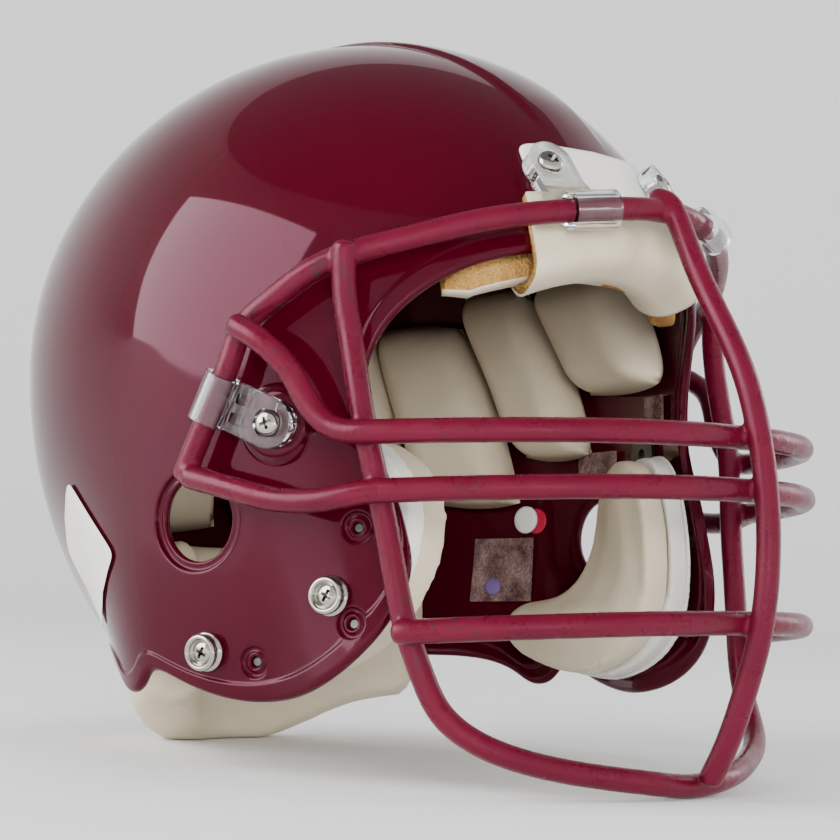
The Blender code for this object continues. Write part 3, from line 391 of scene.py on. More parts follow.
def cage_material():
    """Dark red vinyl dip over steel: satin, slightly uneven, scuffed and chipped to grey in places."""
    made = Nodes("vinyl_dipped_wire")
    cloud = made.noise(30.0, 4.0)
    body = made.ramp(cloud, (0.30, (0.066, 0.0014, 0.0095)), (0.70, (0.095, 0.0028, 0.0150)))
    rub = made.ramp(made.noise(16.0, 2.0), (0.60, 0.0), (0.68, 1.0))
    grain = made.ramp(made.noise(260.0, 5.0, 0.7), (0.56, 0.0), (0.60, 1.0))
    both = made.add("ShaderNodeMath", operation="MULTIPLY")
    made.join(rub, both.inputs[0])
    made.join(grain, both.inputs[1])
    made.colour(made.mix(both.outputs[0], body, (0.040, 0.012, 0.014)))
    made.rough(made.ramp(made.noise(120.0, 4.0), (0.35, 0.24), (0.65, 0.38)))
    made.bump(made.noise(90.0, 4.0), 0.12, 0.001)
    made.set(Specular_IOR_Level=0.40, Specular_Tint=(1.0, 0.50, 0.66))
    return made.material


METAL_GRAIN = 300.0
VINYL_GRIME = (0.30, 0.24, 0.17)
PLASTIC_ROUGHNESS = 0.35


def metal_material(name, colour, rough_low, rough_high):
    made = Nodes(name)
    made.set(Metallic=1.0)
    made.colour(made.ramp(made.noise(60.0, 3.0), (0.3, tuple(0.82 * c for c in colour)), (0.7, colour)))
    made.rough(made.ramp(made.noise(METAL_GRAIN, 4.0), (0.3, rough_low), (0.7, rough_high)))
    made.bump(made.noise(METAL_GRAIN, 3.0), 0.03, 0.0005)
    return made.material


def clear_material():
    """Clear moulded polycarbonate with faint flow haze."""
    made = Nodes("clear_polycarbonate")
    made.set(Base_Color=(0.93, 0.95, 0.96), Transmission_Weight=1.0, IOR=1.49)
    made.rough(made.ramp(made.noise(110.0, 3.0), (0.35, 0.015), (0.75, 0.05)))
    made.bump(made.noise(140.0, 2.0), 0.05, 0.001)
    return made.material


def vinyl_material(name, light, dark):
    """Soft cream vinyl over foam: fine leather-like grain, broad creases and a little handling dirt."""
    made = Nodes(name)
    made.set(Specular_IOR_Level=0.35)
    cloud = made.ramp(made.noise(13.0, 5.0), (0.30, dark), (0.68, light))
    dirt = made.ramp(made.noise(34.0, 6.0, 0.62), (0.60, 0.0), (0.86, 0.38))
    made.colour(made.mix(dirt, cloud, VINYL_GRIME))
    made.rough(made.ramp(made.noise(70.0, 3.0), (0.3, 0.40), (0.7, 0.52)))
    pores = made.ramp(made.voronoi(1500.0), (0.0, 0.0), (0.5, 1.0))
    crease = made.noise(42.0, 3.0)
    height = made.add("ShaderNodeMath", operation="MULTIPLY_ADD")
    made.join(crease, height.inputs[0])
    height.inputs[1].default_value = 2.2
    made.join(pores, height.inputs[2])
    made.bump(height.outputs[0], 0.16, 0.0006)
    return made.material


def foam_material():
    """Open tan foam: coarse cells, with painted shade darkening the pores."""
    made = Nodes("tan_foam")
    cells = made.voronoi(900.0)
    tone = made.ramp(made.noise(60.0, 5.0), (0.3, (0.24, 0.115, 0.030)), (0.7, (0.50, 0.285, 0.090)))
    # painted shade: the pores are darkened towards deep brown, standing in for shade inside the foam's cells
    pores = made.ramp(cells, (0.0, 0.55), (0.45, 0.0))
    made.colour(made.mix(pores, tone, (0.10, 0.045, 0.014)))
    made.set(Roughness=0.95, Specular_IOR_Level=0.15)
    made.bump(cells, 0.7, 0.0012)
    return made.material


def tape_material():
    """Worn hook tape: rows of tiny hooks over a dusty dark red ground, with painted shade in the pits between
    them.
    """
    made = Nodes("hook_tape")
    hooks = made.voronoi(1100.0)
    tone = made.ramp(made.noise(120.0, 6.0, 0.7), (0.32, (0.055, 0.022, 0.024)), (0.72, (0.34, 0.22, 0.20)))
    # painted shade: the pits between the hooks are darkened almost to black
    pit_shade = made.ramp(hooks, (0.05, 0.6), (0.4, 0.0))
    made.colour(made.mix(pit_shade, tone, (0.03, 0.012, 0.014)))
    made.set(Roughness=0.9, Specular_IOR_Level=0.2)
    made.bump(hooks, 0.8, 0.0010)
    return made.material


def plastic_material(name, colour):
    made = Nodes(name)
    made.colour(made.ramp(made.noise(40.0, 5.0), (0.30, tuple(0.88 * c for c in colour)), (0.65, colour)))
    rough = made.noise(90.0, 4.0)
    made.rough(made.ramp(rough, (0.3, PLASTIC_ROUGHNESS - 0.06), (0.7, PLASTIC_ROUGHNESS + 0.08)))
    made.bump(made.noise(240.0, 3.0), 0.04, 0.0006)
    return made.material


# ---- shell ---------------------------------------------------------------------------------------
SHELL_COLUMNS = 640
SHELL_ROWS = 130
# Distances of the last rows from the border, closer where the raised band steps up.
RIM_DISTANCES = 1e-3 * np.array((18.0, 16.0, 14.2, 12.6, 11.2, 10.0, 9.2, 8.6, 8.1, 7.6, 7.1, 6.5, 5.6, 4.6,
                                 3.6, 2.8))
RIM_RADIUS = 0.0020
BAND_WIDTH = 0.0084            # the raised border round the opening and the lower edge
BAND_HEIGHT = 0.0007
EAR_CUT_RADIUS = 0.0178
SNAP_CUT_RADIUS = 0.0056
POLE = unit((0.0, 0.5, 0.9))   # the shell's rows run out from here to the border


def opening_border():
    """The border of the shell as one closed line, starting at the front and going round by the right."""
    edge = spline((*BROW_EDGE, *JAW_EDGE, *EAR_NOTCH_EDGE, *NAPE_EDGE), 4000)
    width = np.full(len(edge), HALF_WIDTH)
    for _ in range(12):
        places = np.stack([width, edge[:, 0], edge[:, 1]], 1)
        share = 1 - level(places) + (width / HALF_WIDTH)**2
        width = HALF_WIDTH * np.sqrt(np.maximum(share, 0))
    half = np.stack([-width, edge[:, 0], edge[:, 1]], 1)[width > 0]
    front = on_shell(unit((0.0, *half[0, 1:])))
    back = on_shell(unit((0.0, *half[-1, 1:])))
    half = on_shell(unit(half))
    half = resampled(np.vstack([front, half, back]), SHELL_COLUMNS // 2 + 1)
    other = half[1:-1][::-1] * (-1, 1, 1)
    return on_shell(unit(np.vstack([half, other])))


def ridge_rise(points):
    """Height of the raised band over the crown, with soft steps at its sides and ends."""
    across = smooth((RIDGE_HALF_WIDTH + 0.0016 - np.abs(points[..., 0])) / 0.0030)
    turn = np.degrees(np.arctan2(points[..., 2] / CROWN, points[..., 1] / HALF_LENGTH))
    ends = smooth((turn + 2) / 14) * smooth((146 - turn) / 14)
    return RIDGE_HEIGHT * across * ends


def shell_grid():
    """(points in rows from the pole to the border, their distances to the border, the border)."""
    border = opening_border()
    ends = unit(border)
    angle = np.arccos(np.clip(ends @ POLE, -1, 1))
    shares = np.linspace(0, 1, 400)
    paths = (np.sin((1 - shares)[:, None] * angle)[..., None] * POLE
             + np.sin(shares[:, None] * angle)[..., None] * ends) / np.sin(angle)[None, :, None]
    lines = on_shell(unit(paths))
    steps = np.linalg.norm(np.diff(lines, axis=0), axis=2)
    length = np.vstack([np.zeros(len(border)), np.cumsum(steps, axis=0)])
    total = length[-1]
    reach = np.vstack([np.linspace(0, 1, SHELL_ROWS)[:, None] * (total - RIM_DISTANCES[0] - 0.0020),
                       total - RIM_DISTANCES[:, None]])
    points = np.empty((len(reach), len(border), 3))
    for column in range(len(border)):
        for axis in range(3):
            points[:, column, axis] = np.interp(reach[:, column], length[:, column], lines[:, column, axis])
    return on_shell(unit(points)), total - reach, border


def punched_faces(points, holes):
    """Drops the faces of a grid inside each round hole and draws the cut's edge onto the circle."""
    rows, columns = points.shape[:2]
    keep = np.ones((rows - 1, columns), bool)
    for centre, normal, radius in holes:
        offset = points - centre
        height = offset @ normal
        across = offset - height[..., None] * normal
        distance = np.linalg.norm(across, axis=-1)
        inside = (distance < radius) & (np.abs(height) < 0.02)
        touched = inside[:-1] | inside[1:]
        touched = touched | np.roll(touched, -1, axis=1)
        keep &= ~touched
        near = np.zeros(inside.shape, bool)
        for i, j in np.argwhere(touched):
            near[i:i + 2, [j, (j + 1) % columns]] = True
        pulled = near & ~inside
        points[pulled] -= (across * (1 - radius / np.maximum(distance, 1e-9))[..., None])[pulled]
    return keep


def make_shell(material):
    base, edge_distance, border = shell_grid()
    normals = normal_at(base)
    rise = ridge_rise(base) + BAND_HEIGHT * smooth((BAND_WIDTH - edge_distance) / 0.0014)
    outer = base + normals * rise[..., None]
    inner = base - normals * (WALL - np.minimum(rise, BAND_HEIGHT))[..., None]
    rows, columns = outer.shape[:2]
    last = outer[-1]
    toward = unit(border - base[-1])
    core = last - normals[-1] * RIM_RADIUS
    arc = [core + (RIM_RADIUS * (math.cos(a) * normals[-1] + 1.35 * math.sin(a) * toward))
           for a in np.radians(np.arange(12, 180, 12))]
    inner[-1] = core - normals[-1] * RIM_RADIUS
    holes = []
    for side in (-1, 1):
        holes.append((*side_seat(EAR_HOLE, side), EAR_CUT_RADIUS))
        holes += [(*side_seat(place, side), SNAP_CUT_RADIUS) for place in SNAP_HOLES]
    outer_keep = punched_faces(outer, holes)
    inner_keep = punched_faces(inner, holes)
    rings = [outer.reshape(-1, 3), np.concatenate(arc), inner.reshape(-1, 3)]
    points = np.concatenate(rings)
    arc_start, inner_start = rows * columns, (rows + len(arc)) * columns
    index = np.arange(columns)
    after = (index + 1) % columns

    def quads(first, second, mask=None):
        made = np.stack([first + index, first + after, second + after, second + index], 1)
        return made if mask is None else made[mask]

    faces = [quads(i * columns, (i + 1) * columns, outer_keep[i]) for i in range(rows - 1)]
    chain = [(rows - 1) * columns] + [arc_start + k * columns for k in range(len(arc))]
    chain.append(inner_start + (rows - 1) * columns)
    faces += [quads(a, b) for a, b in zip(chain, chain[1:])]
    faces += [quads(inner_start + (i + 1) * columns, inner_start + i * columns, inner_keep[i])
              for i in range(rows - 1)]
    faces = [tuple(face) for face in np.concatenate(faces).tolist()]
    used = np.zeros(len(points), bool)
    used[np.array(faces).ravel()] = True
    renumber = np.cumsum(used) - 1
    mesh = mesh_of("shell_surface", points[used], [[renumber[i] for i in face] for face in faces])
    shell = link("shell_surface", mesh, material)
    weld = bmesh.new()
    weld.from_mesh(mesh)
    bmesh.ops.remove_doubles(weld, verts=weld.verts, dist=1e-6)
    weld.to_mesh(mesh)
    weld.free()
    face_out(mesh)
    mesh.shade_smooth()
    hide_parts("shell")


LATHE_SEGMENTS = 64


def surface_lathe(seat, normal, profile):
    """(points, faces) of a turned shape on the shell; profile is (radius, height over the shell)."""
    across, up = tangents(normal)
    turns = 2 * np.pi * np.arange(LATHE_SEGMENTS) / LATHE_SEGMENTS
    rings = []
    for radius, height in profile:
        flat = seat + radius * (np.cos(turns)[:, None] * across + np.sin(turns)[:, None] * up)
        ring = dropped(flat, normal)
        rings.append(ring + normal_at(ring) * height)
    return loft(rings, cap=False)


def make_shell_details(material):
    """Recessed ear rims, dished snap holes and the bosses under the side clips."""
    ear = ((0.0186, 0.00004), (0.0178, 0.00006), (0.01755, -0.0003), (0.01745, -0.0010), (0.01715, -0.0015),
           (0.0166, -0.0017), (0.0156, -0.0016), (0.0149, -0.0014), (0.0144, -0.0018), (0.0142, -0.0026),
           (0.0142, -0.0036), (0.0146, -0.0041), (0.0188, -0.00405))
    dish = ((0.0062, 0.00004), (0.0056, 0.00005), (0.0053, -0.0003), (0.0050, -0.0011), (0.0046, -0.0014),
            (0.0036, -0.0013), (0.0032, -0.0008), (0.0028, -0.0006), (0.0022, -0.0008), (0.0018, -0.0016),
            (0.0017, -0.0040), (0.0062, -0.00405))
    boss = ((0.0150, -0.0003), (0.0134, 0.0002), (0.0122, 0.0010), (0.0114, 0.0020), (0.0106, 0.0025),
            (0.0096, 0.0026), (0.0030, 0.0026), (0.0001, 0.0026))
    for side, label in SIDES:
        shapes = [("ear_rim", EAR_HOLE, ear), ("side_boss", SIDE_SCREW, boss)]
        shapes += [(f"snap_dish_{k}", place, dish) for k, place in enumerate(SNAP_HOLES, 1)]
        for name, place, profile in shapes:
            seat, normal = side_seat(place, side)
            detail = drawn(f"{name}_{label}", surface_lathe(seat, normal, profile), material)


# ---- cage ----------------------------------------------------------------------------------------
def both_sides(half):
    half = np.asarray(half, float)
    return np.vstack([half, half[:-1][::-1] * (-1, 1, 1)])


def at_height(points, z):
    order = np.argsort(points[:, 2])
    return np.array([np.interp(z, points[order, 2], points[order, axis]) for axis in range(3)])


def bar_path(bar, loop, nose):
    side = at_height(loop[:220], bar["heights"][0]) + LOOP_OUTWARD * WELD_SPACING
    middle = at_height(nose, bar["heights"][1]) + (0, WELD_SPACING, 0)
    points = [np.array(point) for point in bar["tail"]]
    if not points:
        points.append(side + unit((-0.35, 1.0, 0)) * 0.0022)
    for k in range(11):
        share = math.sin(0.5 * math.pi * (1 - k / 10))
        bow = share ** bar["bow"]
        points.append(np.array((side[0] * share, middle[1] + (side[1] - middle[1]) * bow,
                                middle[2] + (side[2] - middle[2]) * bow)))
    points[-1][0] = 0.0
    return spline(both_sides(points), 420)


def make_cage(material):
    """All six wires fused into one dipped cage, with a fillet of coating at every weld."""
    loop = spline(both_sides(JAW_LOOP_WIRE), 560)
    nose = spline(NOSE_WIRE, 260)
    paths = [spline(both_sides(PERIMETER_WIRE), 460), loop, nose]
    paths += [bar_path(bar, loop, nose) for bar in CROSS_BARS.values()]
    joined = bmesh.new()
    for path in paths:
        piece = mesh_of("wire", *tube(path, WIRE))
        joined.from_mesh(piece)
        bpy.data.meshes.remove(piece)
    mesh = bpy.data.meshes.new("dipped_cage")
    joined.to_mesh(mesh)
    joined.free()
    face_out(mesh)
    cage = link("dipped_cage", mesh, material)
    remesh = cage.modifiers.new("fuse", "REMESH")
    remesh.mode = "VOXEL"
    remesh.voxel_size = 0.00085
    relax = cage.modifiers.new("fillet", "SMOOTH")
    relax.factor = 0.5
    relax.iterations = 9
    apply_modifiers(cage)
    cage.data.shade_smooth()
    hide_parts("cage_perimeter_wire", "cage_jaw_loop", "cage_upper_bar", "cage_middle_bar",
                "cage_lower_bar", "cage_nose_bar")


def apply_modifiers(obj):
    graph = bpy.context.evaluated_depsgraph_get()
    made = bpy.data.meshes.new_from_object(obj.evaluated_get(graph))
    old = obj.data
    obj.modifiers.clear()
    obj.data = made
    bpy.data.meshes.remove(old)


# ---- soft parts ----------------------------------------------------------------------------------
def wall_points(angles, heights, offset):
    """Points over the shell at plan angles (0 is the left) and heights; a positive offset is outward."""
    angles, heights, offset = np.broadcast_arrays(np.asarray(angles, float), heights, offset)
    flat = np.stack([HALF_WIDTH * np.cos(angles), HALF_LENGTH * np.sin(angles), np.zeros_like(angles)], -1)
    upright = np.where(heights < 0, lower_curvature(flat), 1 / CROWN**2)
    flat *= np.sqrt(np.maximum(1 - upright * heights * heights, 0.0))[..., None]
    flat[..., 2] = heights
    return flat + normal_at(flat) * offset[..., None]


PILLOW_COUNT = 34              # points along a side
PILLOW_SQUARENESS = 0.13
PILLOW_SEAT = 0.22             # the seam's depth as a share of the thickness


def squared_circle(turns, power_u, power_v):
    """A circle pushed out towards its corners, more so for a smaller power."""
    across, up = np.cos(turns), np.sin(turns)
    return np.sign(across) * np.abs(across)**power_u, np.sign(up) * np.abs(up)**power_v


def pillow(name, surface, thickness, material, *nodes):
    """A crowned cushion on a surface. surface(u, v, offset) takes u and v from -1 to 1; the cushion swells
    inward from its seam, which lies near the wall, and its corners are rounded."""
    count = PILLOW_COUNT
    grid = np.linspace(-1, 1, count)
    u, v = np.meshgrid(grid, grid, indexing="ij")
    reach = (np.abs(u)**9 + np.abs(v)**9)**(1 / 9)
    around = u * np.sqrt(1 - PILLOW_SQUARENESS * v * v), v * np.sqrt(1 - PILLOW_SQUARENESS * u * u)
    swell = (1 - np.clip(reach, 0, 1)**4)**0.5
    front = surface(*around, -thickness * (PILLOW_SEAT + (1 - PILLOW_SEAT) * swell))
    back = surface(*around, -thickness * PILLOW_SEAT * (1 - swell))
    points = np.concatenate([front.reshape(-1, 3), back.reshape(-1, 3)])
    size = count * count
    faces = []
    for i in range(count - 1):
        for j in range(count - 1):
            a = i * count + j
            faces.append((a, a + 1, a + count + 1, a + count))
            faces.append((size + a, size + a + count, size + a + count + 1, size + a + 1))
    edge = [j for j in range(count)] + [i * count + count - 1 for i in range(1, count)]
    edge += [(count - 1) * count + j for j in range(count - 2, -1, -1)]
    edge += [i * count for i in range(count - 2, 0, -1)]
    for a, b in zip(edge, edge[1:] + edge[:1]):
        faces.append((a, size + a, size + b, b))
    mesh = mesh_of(name, points, faces)
    bulk = bmesh.new()
    bulk.from_mesh(mesh)
    bmesh.ops.remove_doubles(bulk, verts=bulk.verts, dist=2e-5)
    bmesh.ops.recalc_face_normals(bulk, faces=bulk.faces)
    bulk.to_mesh(mesh)
    bulk.free()
    padded_piece(link(name, mesh, material), "cream_vinyl", 0.8, *nodes)


# Liner cells: name, plan angle of the middle and half its spread in degrees, lower and upper height, and
# how much the plan angle grows towards the foot, in radians for each metre.
LINER_CELLS = (("back", 90, 18.5, -0.0615, 0.047, 0.0), ("rear", 50, 20, -0.0595, 0.038, -1.0),
               ("middle", 19.6, 10.8, -0.049, 0.033, -2.6), ("temple", 0.6, 8.9, -0.030, 0.046, -3.2),
               ("front", -22, 14.2, -0.006, 0.048, -3.6))
LINER_STANDOFF = 0.0010
BACK_ANGLE = 90


def cell_surface(side, middle, spread, low, high, lean):
    """The surface of one liner cell, as pillow takes it."""
    def surface(u, v, offset):
        heights = 0.5 * (low + high) + 0.5 * (high - low) * v
        taper = 1 - 0.10 * np.maximum(v, 0)**2
        turn = np.radians(middle + spread * u * taper) - lean * (heights - 0.5 * (low + high))
        if side < 0:
            turn = np.pi - turn
        return wall_points(turn, heights, offset - WALL - LINER_STANDOFF)
    return surface


def crown_surface(u, v, offset):
    x, y = 0.047 * u, 0.057 * v
    flat = np.stack([x, y, CROWN * np.sqrt(1 - (x / HALF_WIDTH)**2 - (y / HALF_LENGTH)**2)], -1)
    return flat + normal_at(flat) * (offset - WALL - LINER_STANDOFF)[..., None]


def make_liner(material):
    for name, middle, *extent in LINER_CELLS:
        for side, label in ((1, ""),) if middle == BACK_ANGLE else ((1, "_left"), (-1, "_right")):
            nodes = () if name == "temple" else (f"liner_cell_{name}{label}",)
            surface = cell_surface(side, middle, *extent)
            pillow(f"liner_cushion_{name}{label}", surface, 0.0225, material, *nodes)
    pillow("liner_cushion_crown", crown_surface, 0.0215, material, "liner_crown_cell")


JAW_PAD_OUTLINE = ((-0.0770, -0.0315), (-0.0900, -0.0385), (-0.0975, -0.0520), (-0.0990, -0.0710),
                   (-0.0930, -0.0900), (-0.0835, -0.1030), (-0.0700, -0.1110), (-0.0460, -0.1155),
                   (-0.0230, -0.1110), (-0.0080, -0.1060), (-0.0010, -0.0990), (-0.0030, -0.0910),
                   (-0.0110, -0.0860), (-0.0310, -0.0860), (-0.0470, -0.0790), (-0.0565, -0.0690),
                   (-0.0600, -0.0560), (-0.0600, -0.0450), (-0.0660, -0.0360))


def closed_line(points, count):
    """A smooth closed line through the points."""
    points = np.asarray(points, float)
    size = len(points)
    wrapped = np.vstack([points[-3:], points, points[:4]])
    fine = spline(wrapped, 40 * len(wrapped))
    first = np.argmin(np.linalg.norm(fine - points[0], axis=1)[:20 * len(wrapped)])
    rest = np.linalg.norm(fine - points[0], axis=1)
    rest[:first + 20 * size] = 1
    return resampled(fine[first:np.argmin(rest) + 1], count + 1)[:-1]


def border_distance(places, line):
    """Distance of each place (y, z) to a closed line, positive inside it."""
    ends = np.roll(line, -1, axis=0)
    run = ends - line
    offset = places[:, None] - line[None]
    share = np.clip((offset * run).sum(-1) / (run * run).sum(-1), 0, 1)
    distance = np.linalg.norm(offset - share[..., None] * run, axis=-1).min(1)
    crossing = (line[None, :, 1] > places[:, None, 1]) != (ends[None, :, 1] > places[:, None, 1])
    fall = np.where(run[:, 1] == 0, 1e-12, run[:, 1])
    at = line[:, 0] + (places[:, None, 1] - line[None, :, 1]) * run[:, 0] / fall
    inside = (crossing & (places[:, None, 0] < at)).sum(1) % 2 == 1
    return np.where(inside, distance, -distance)


def jaw_slab(name, side, material, grow, outer, inner, voxel, rounds, crown):
    """A slab of jaw pad between two depths inside the shell, softened and crowned on its inner face."""
    line = closed_line(JAW_PAD_OUTLINE, 160)
    for _ in range(45):
        line = 0.5 * line + 0.25 * (np.roll(line, 1, axis=0) + np.roll(line, -1, axis=0))
    middle = np.array((-0.062, -0.078))
    away = np.roll(line, -1, axis=0) - np.roll(line, 1, axis=0)
    outward = unit(np.stack([away[:, 1], -away[:, 0]], 1))
    if ((line - middle) * outward).sum() < 0:
        outward = -outward
    line = line + outward * grow
    rings = []
    for depth in np.linspace(outer, inner, 9):
        guess = np.stack([np.full(len(line), side * 0.10), line[:, 0], line[:, 1]], 1)
        base = dropped(guess, np.array((1.0, 0, 0)))
        rings.append(base - np.array((side, 0, 0)) * depth)
    piece = drawn(name, loft(rings), material, f"{'right' if side < 0 else 'left'}_jaw_pad")
    remesh = piece.modifiers.new("even", "REMESH")
    remesh.mode = "VOXEL"
    remesh.voxel_size = voxel
    soften = piece.modifiers.new("soften", "SMOOTH")
    soften.factor = 0.5
    soften.iterations = rounds
    apply_modifiers(piece)
    data = piece.data
    co = np.empty(len(data.vertices) * 3)
    data.vertices.foreach_get("co", co)
    co = co.reshape(-1, 3)
    local = (co - np.array(HELMET.translation)) @ np.array(HELMET.to_3x3())
    distance = border_distance(local[:, 1:], line)
    face = side * local[:, 0]
    low, high = face.min(), face.max()
    inward = smooth((high - face) / (high - low))
    local[:, 0] -= side * crown * inward * smooth(distance / 0.016)
    co = placed(local)
    data.vertices.foreach_set("co", co.ravel())
    data.update()
    soften = piece.modifiers.new("soften", "SMOOTH")
    soften.iterations = rounds
    apply_modifiers(piece)
    piece.data.shade_smooth()
    dress(piece, material)
    return piece


# Slabs of each jaw pad: piece, growth of the outline, outer and inner depth, voxel size, rounds of
# smoothing and crown of the inner face.
JAW_SLABS = (("tray", 0.0012, WALL + 0.0046, WALL + 0.0150, 0.0011, 5, 0.0),
             ("cushion", -0.0004, WALL + 0.0148, WALL + 0.0288, 0.0012, 16, 0.0042),
             ("flange", 0.0024, WALL + 0.0042, WALL + 0.0060, 0.0007, 3, 0.0))


def make_jaw_pads(cream, white):
    for side, label in SIDES:
        for slab, *shape in JAW_SLABS:
            piece = jaw_slab(f"jaw_pad_{slab}_{label}", side, cream if slab == "cushion" else white, *shape)
            if slab == "cushion":
                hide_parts(f"jaw_pad_{label}")


FRONT_PAD_FOOT = 0.0072


def brow_height(y):
    return np.interp(y, [p[0] for p in BROW_EDGE], [p[1] for p in BROW_EDGE])


def make_front_pad(cream, foam):
    """The brow pad: a foam block inside, and a foam-backed vinyl flap wrapped round the brow edge."""
    stations = 61
    inner = -WALL - 0.0152
    skins, backs, core = [], [], []
    for k in range(stations):
        share = 2 * k / (stations - 1) - 1
        angle = -0.5 * math.pi + math.asin(0.0425 / HALF_WIDTH) * share
        brow = brow_height(wall_points(angle, 0.025, 0.0)[1])
        foot = brow - FRONT_PAD_FOOT + 0.0050 * (1 - share * share)
        tip = 0.0480 - 0.0020 * share * share
        path = np.array([(0.0050, tip), (0.0051, 0.5 * (tip + brow)), (0.0050, brow + 0.001),
                         (0.0034, foot - 0.0005), (-0.0040, foot - 0.0044), (-0.0130, foot - 0.0050),
                         (inner - 0.0010, foot + 0.0010), (inner - 0.0030, foot + 0.0120),
                         (inner - 0.0030, foot + 0.0300), (inner - 0.0016, 0.0690)])
        fine = spline(path, 70)
        run = unit(np.gradient(fine, axis=0))
        across = np.stack([-run[:, 1], run[:, 0]], 1)
        if across[0, 0] > 0:
            across = -across
        for depths, store in (((0.0, 0.0011), skins), ((0.00115, 0.0042), backs)):
            ring = np.vstack([fine + across * depths[0], (fine + across * depths[1])[::-1]])
            store.append(wall_points(np.full(len(ring), angle), ring[:, 1], ring[:, 0]))
    padded_piece(drawn("front_pad_skin", loft(skins), cream), "cream_vinyl", 0.9, "front_pad_cover")
    padded_piece(drawn("front_pad_backing", loft(backs), foam), "tan_foam", 0.9)
    for k in range(stations):
        share = 2 * k / (stations - 1) - 1
        angle = -0.5 * math.pi + math.radians(37) * share
        brow = brow_height(wall_points(angle, 0.025, 0.0)[1])
        foot = max(brow - 0.0068, 0.0150)
        end = 1 - 0.25 * smooth((abs(share) - 0.86) / 0.14)
        thick = 0.0112 * end
        near = -WALL - 0.0034
        turns = np.radians(np.arange(0, 360, 15))
        square = squared_circle(turns, 0.35, 0.25)
        offsets = near - 0.5 * thick + 0.5 * thick * square[0]
        heights = 0.5 * (foot + 0.068) + 0.5 * (0.068 - foot) * square[1]
        core.append(wall_points(np.full(len(turns), angle), heights, offsets))
    piece = drawn("front_pad_block", loft(core), foam)
    piece.data.materials.append(cream)
    for face in piece.data.polygons:
        if face.normal.z < -0.45 and face.center.x < 0:
            face.material_index = 1
    padded_piece(piece, "tan_foam", 0.9, "front_pad_foam")


def make_neck_pad(material):
    """A crescent cushion under the nape: flat where it stands, crowned above, with a seam round its lip."""
    chin, pad_low = -0.1496 - WIRE, -0.1403
    nape = -0.1085
    top = -0.0650
    depth = -WALL - 0.0150
    rings = []
    stations = 81
    middle_back = wall_points(0.5 * math.pi, nape, depth)
    slope = (pad_low - chin) / (middle_back[1] + 0.1590)
    for k in range(stations):
        share = 2 * k / (stations - 1) - 1
        angle = 0.5 * math.pi + math.radians(66) * share
        middle = wall_points(angle, nape, depth)
        tangent = wall_points(angle + 1e-3, nape, depth) - wall_points(angle - 1e-3, nape, depth)
        out = unit((tangent[1], -tangent[0], 0))
        end = float(smooth((abs(share) - 0.45) / 0.55))
        fade = float(smooth((abs(share) - 0.15) / 0.85))
        rise = float(smooth((abs(share) - 0.20) / 0.85))
        close = 1 - 0.9 * float(smooth((abs(share) - 0.93) / 0.07))
        floor = pad_low + (middle[1] - middle_back[1]) * slope + 0.0215 * rise
        half = 0.0130 * (1 - 0.2 * end) * close
        lip = 0.0042 * (1 - fade)
        under = floor - 0.6 * half * out[1] * slope, floor + 0.6 * half * out[1] * slope
        shape = ((-0.55 * half, under[0]), (-0.9 * half, floor + 0.0022), (-1.05 * half, floor + 0.0110),
                 (-1.0 * half, top - 0.0120), (-0.8 * half, top - 0.0030), (-0.35 * half, top),
                 (0.1 * half, top - 0.0030), (0.26 * half, top - 0.0110), (0.30 * half, nape + 0.0060),
                 (0.45 * half, nape - 0.0046), (half + 0.6 * lip, nape - 0.0052),
                 (half + lip, nape - 0.0095), (half + 0.8 * lip, floor + 0.0130),
                 (0.98 * half, floor + 0.0060), (0.55 * half, under[1]))
        shape = np.array(shape)
        if close < 1:
            centre = 0.5 * (floor + top)
            shape[:, 1] = centre + (shape[:, 1] - centre) * (0.55 + 0.45 * close)
        away, heights = closed_line(shape, 72).T
        rings.append(np.stack([middle[0] + out[0] * away, middle[1] + out[1] * away, heights], 1))
    mesh = mesh_of("neck_cushion", *loft(rings))
    for corner in mesh.vertices:
        corner.co.z = max(corner.co.z, 0.0002)
    face_out(mesh)
    padded_piece(link("neck_cushion", mesh, material), "cream_vinyl", 0.8, "neck_pad")


# ---- plates and labels ---------------------------------------------------------------------------
PLATE_LEVELS = ((1.0, 0.0), (1.0, 0.35), (0.997, 0.75), (0.988, 1.0), (0.9, 1.0), (0.75, 1.0),
                (0.5, 1.0), (0.25, 1.0), (0.01, 1.0))   # share of the outline, share of the thickness
LABEL_ANGLE = 164.5
LABEL_HEIGHT = -0.0710
LABEL_HALF = (0.0205, 0.0175)
LABEL_TILT = math.radians(42)
LABEL_LEVELS = ((0.01, 0.0008), (0.5, 0.0008), (0.99, 0.0008), (1.0, 0.0010), (0.99, 0.0011), (0.75, 0.0011),
                (0.5, 0.0011), (0.25, 0.0011), (0.01, 0.0011))   # share of the outline, lift off the shell
HOOK_TAPES = ("hook_tape_front_left", "hook_tape_upper_left", "hook_tape_rear_left", "hook_tape_rear_right")


def plate(name, angles, heights, offset, thickness, material):
    """A thin moulded plate that follows the shell, with rounded corners and a softened edge."""
    turns = np.linspace(0, 2 * np.pi, 96, endpoint=False)
    edge_u, edge_v = squared_circle(turns, 2 / 9, 2 / 9)
    middle = 0.5 * (angles[0] + angles[1]), 0.5 * (heights[0] + heights[1])
    half = 0.5 * (angles[1] - angles[0]), 0.5 * (heights[1] - heights[0])
    rings = []
    for share, lift in ((0.01, 0.0), (0.5, 0.0), *PLATE_LEVELS):
        u, v = share * edge_u, share * edge_v
        rings.append(wall_points(np.radians(middle[0] + half[0] * u), middle[1] + half[1] * v,
                                 np.full(len(turns), offset + thickness * lift)))
    return drawn(name, loft(rings), material)


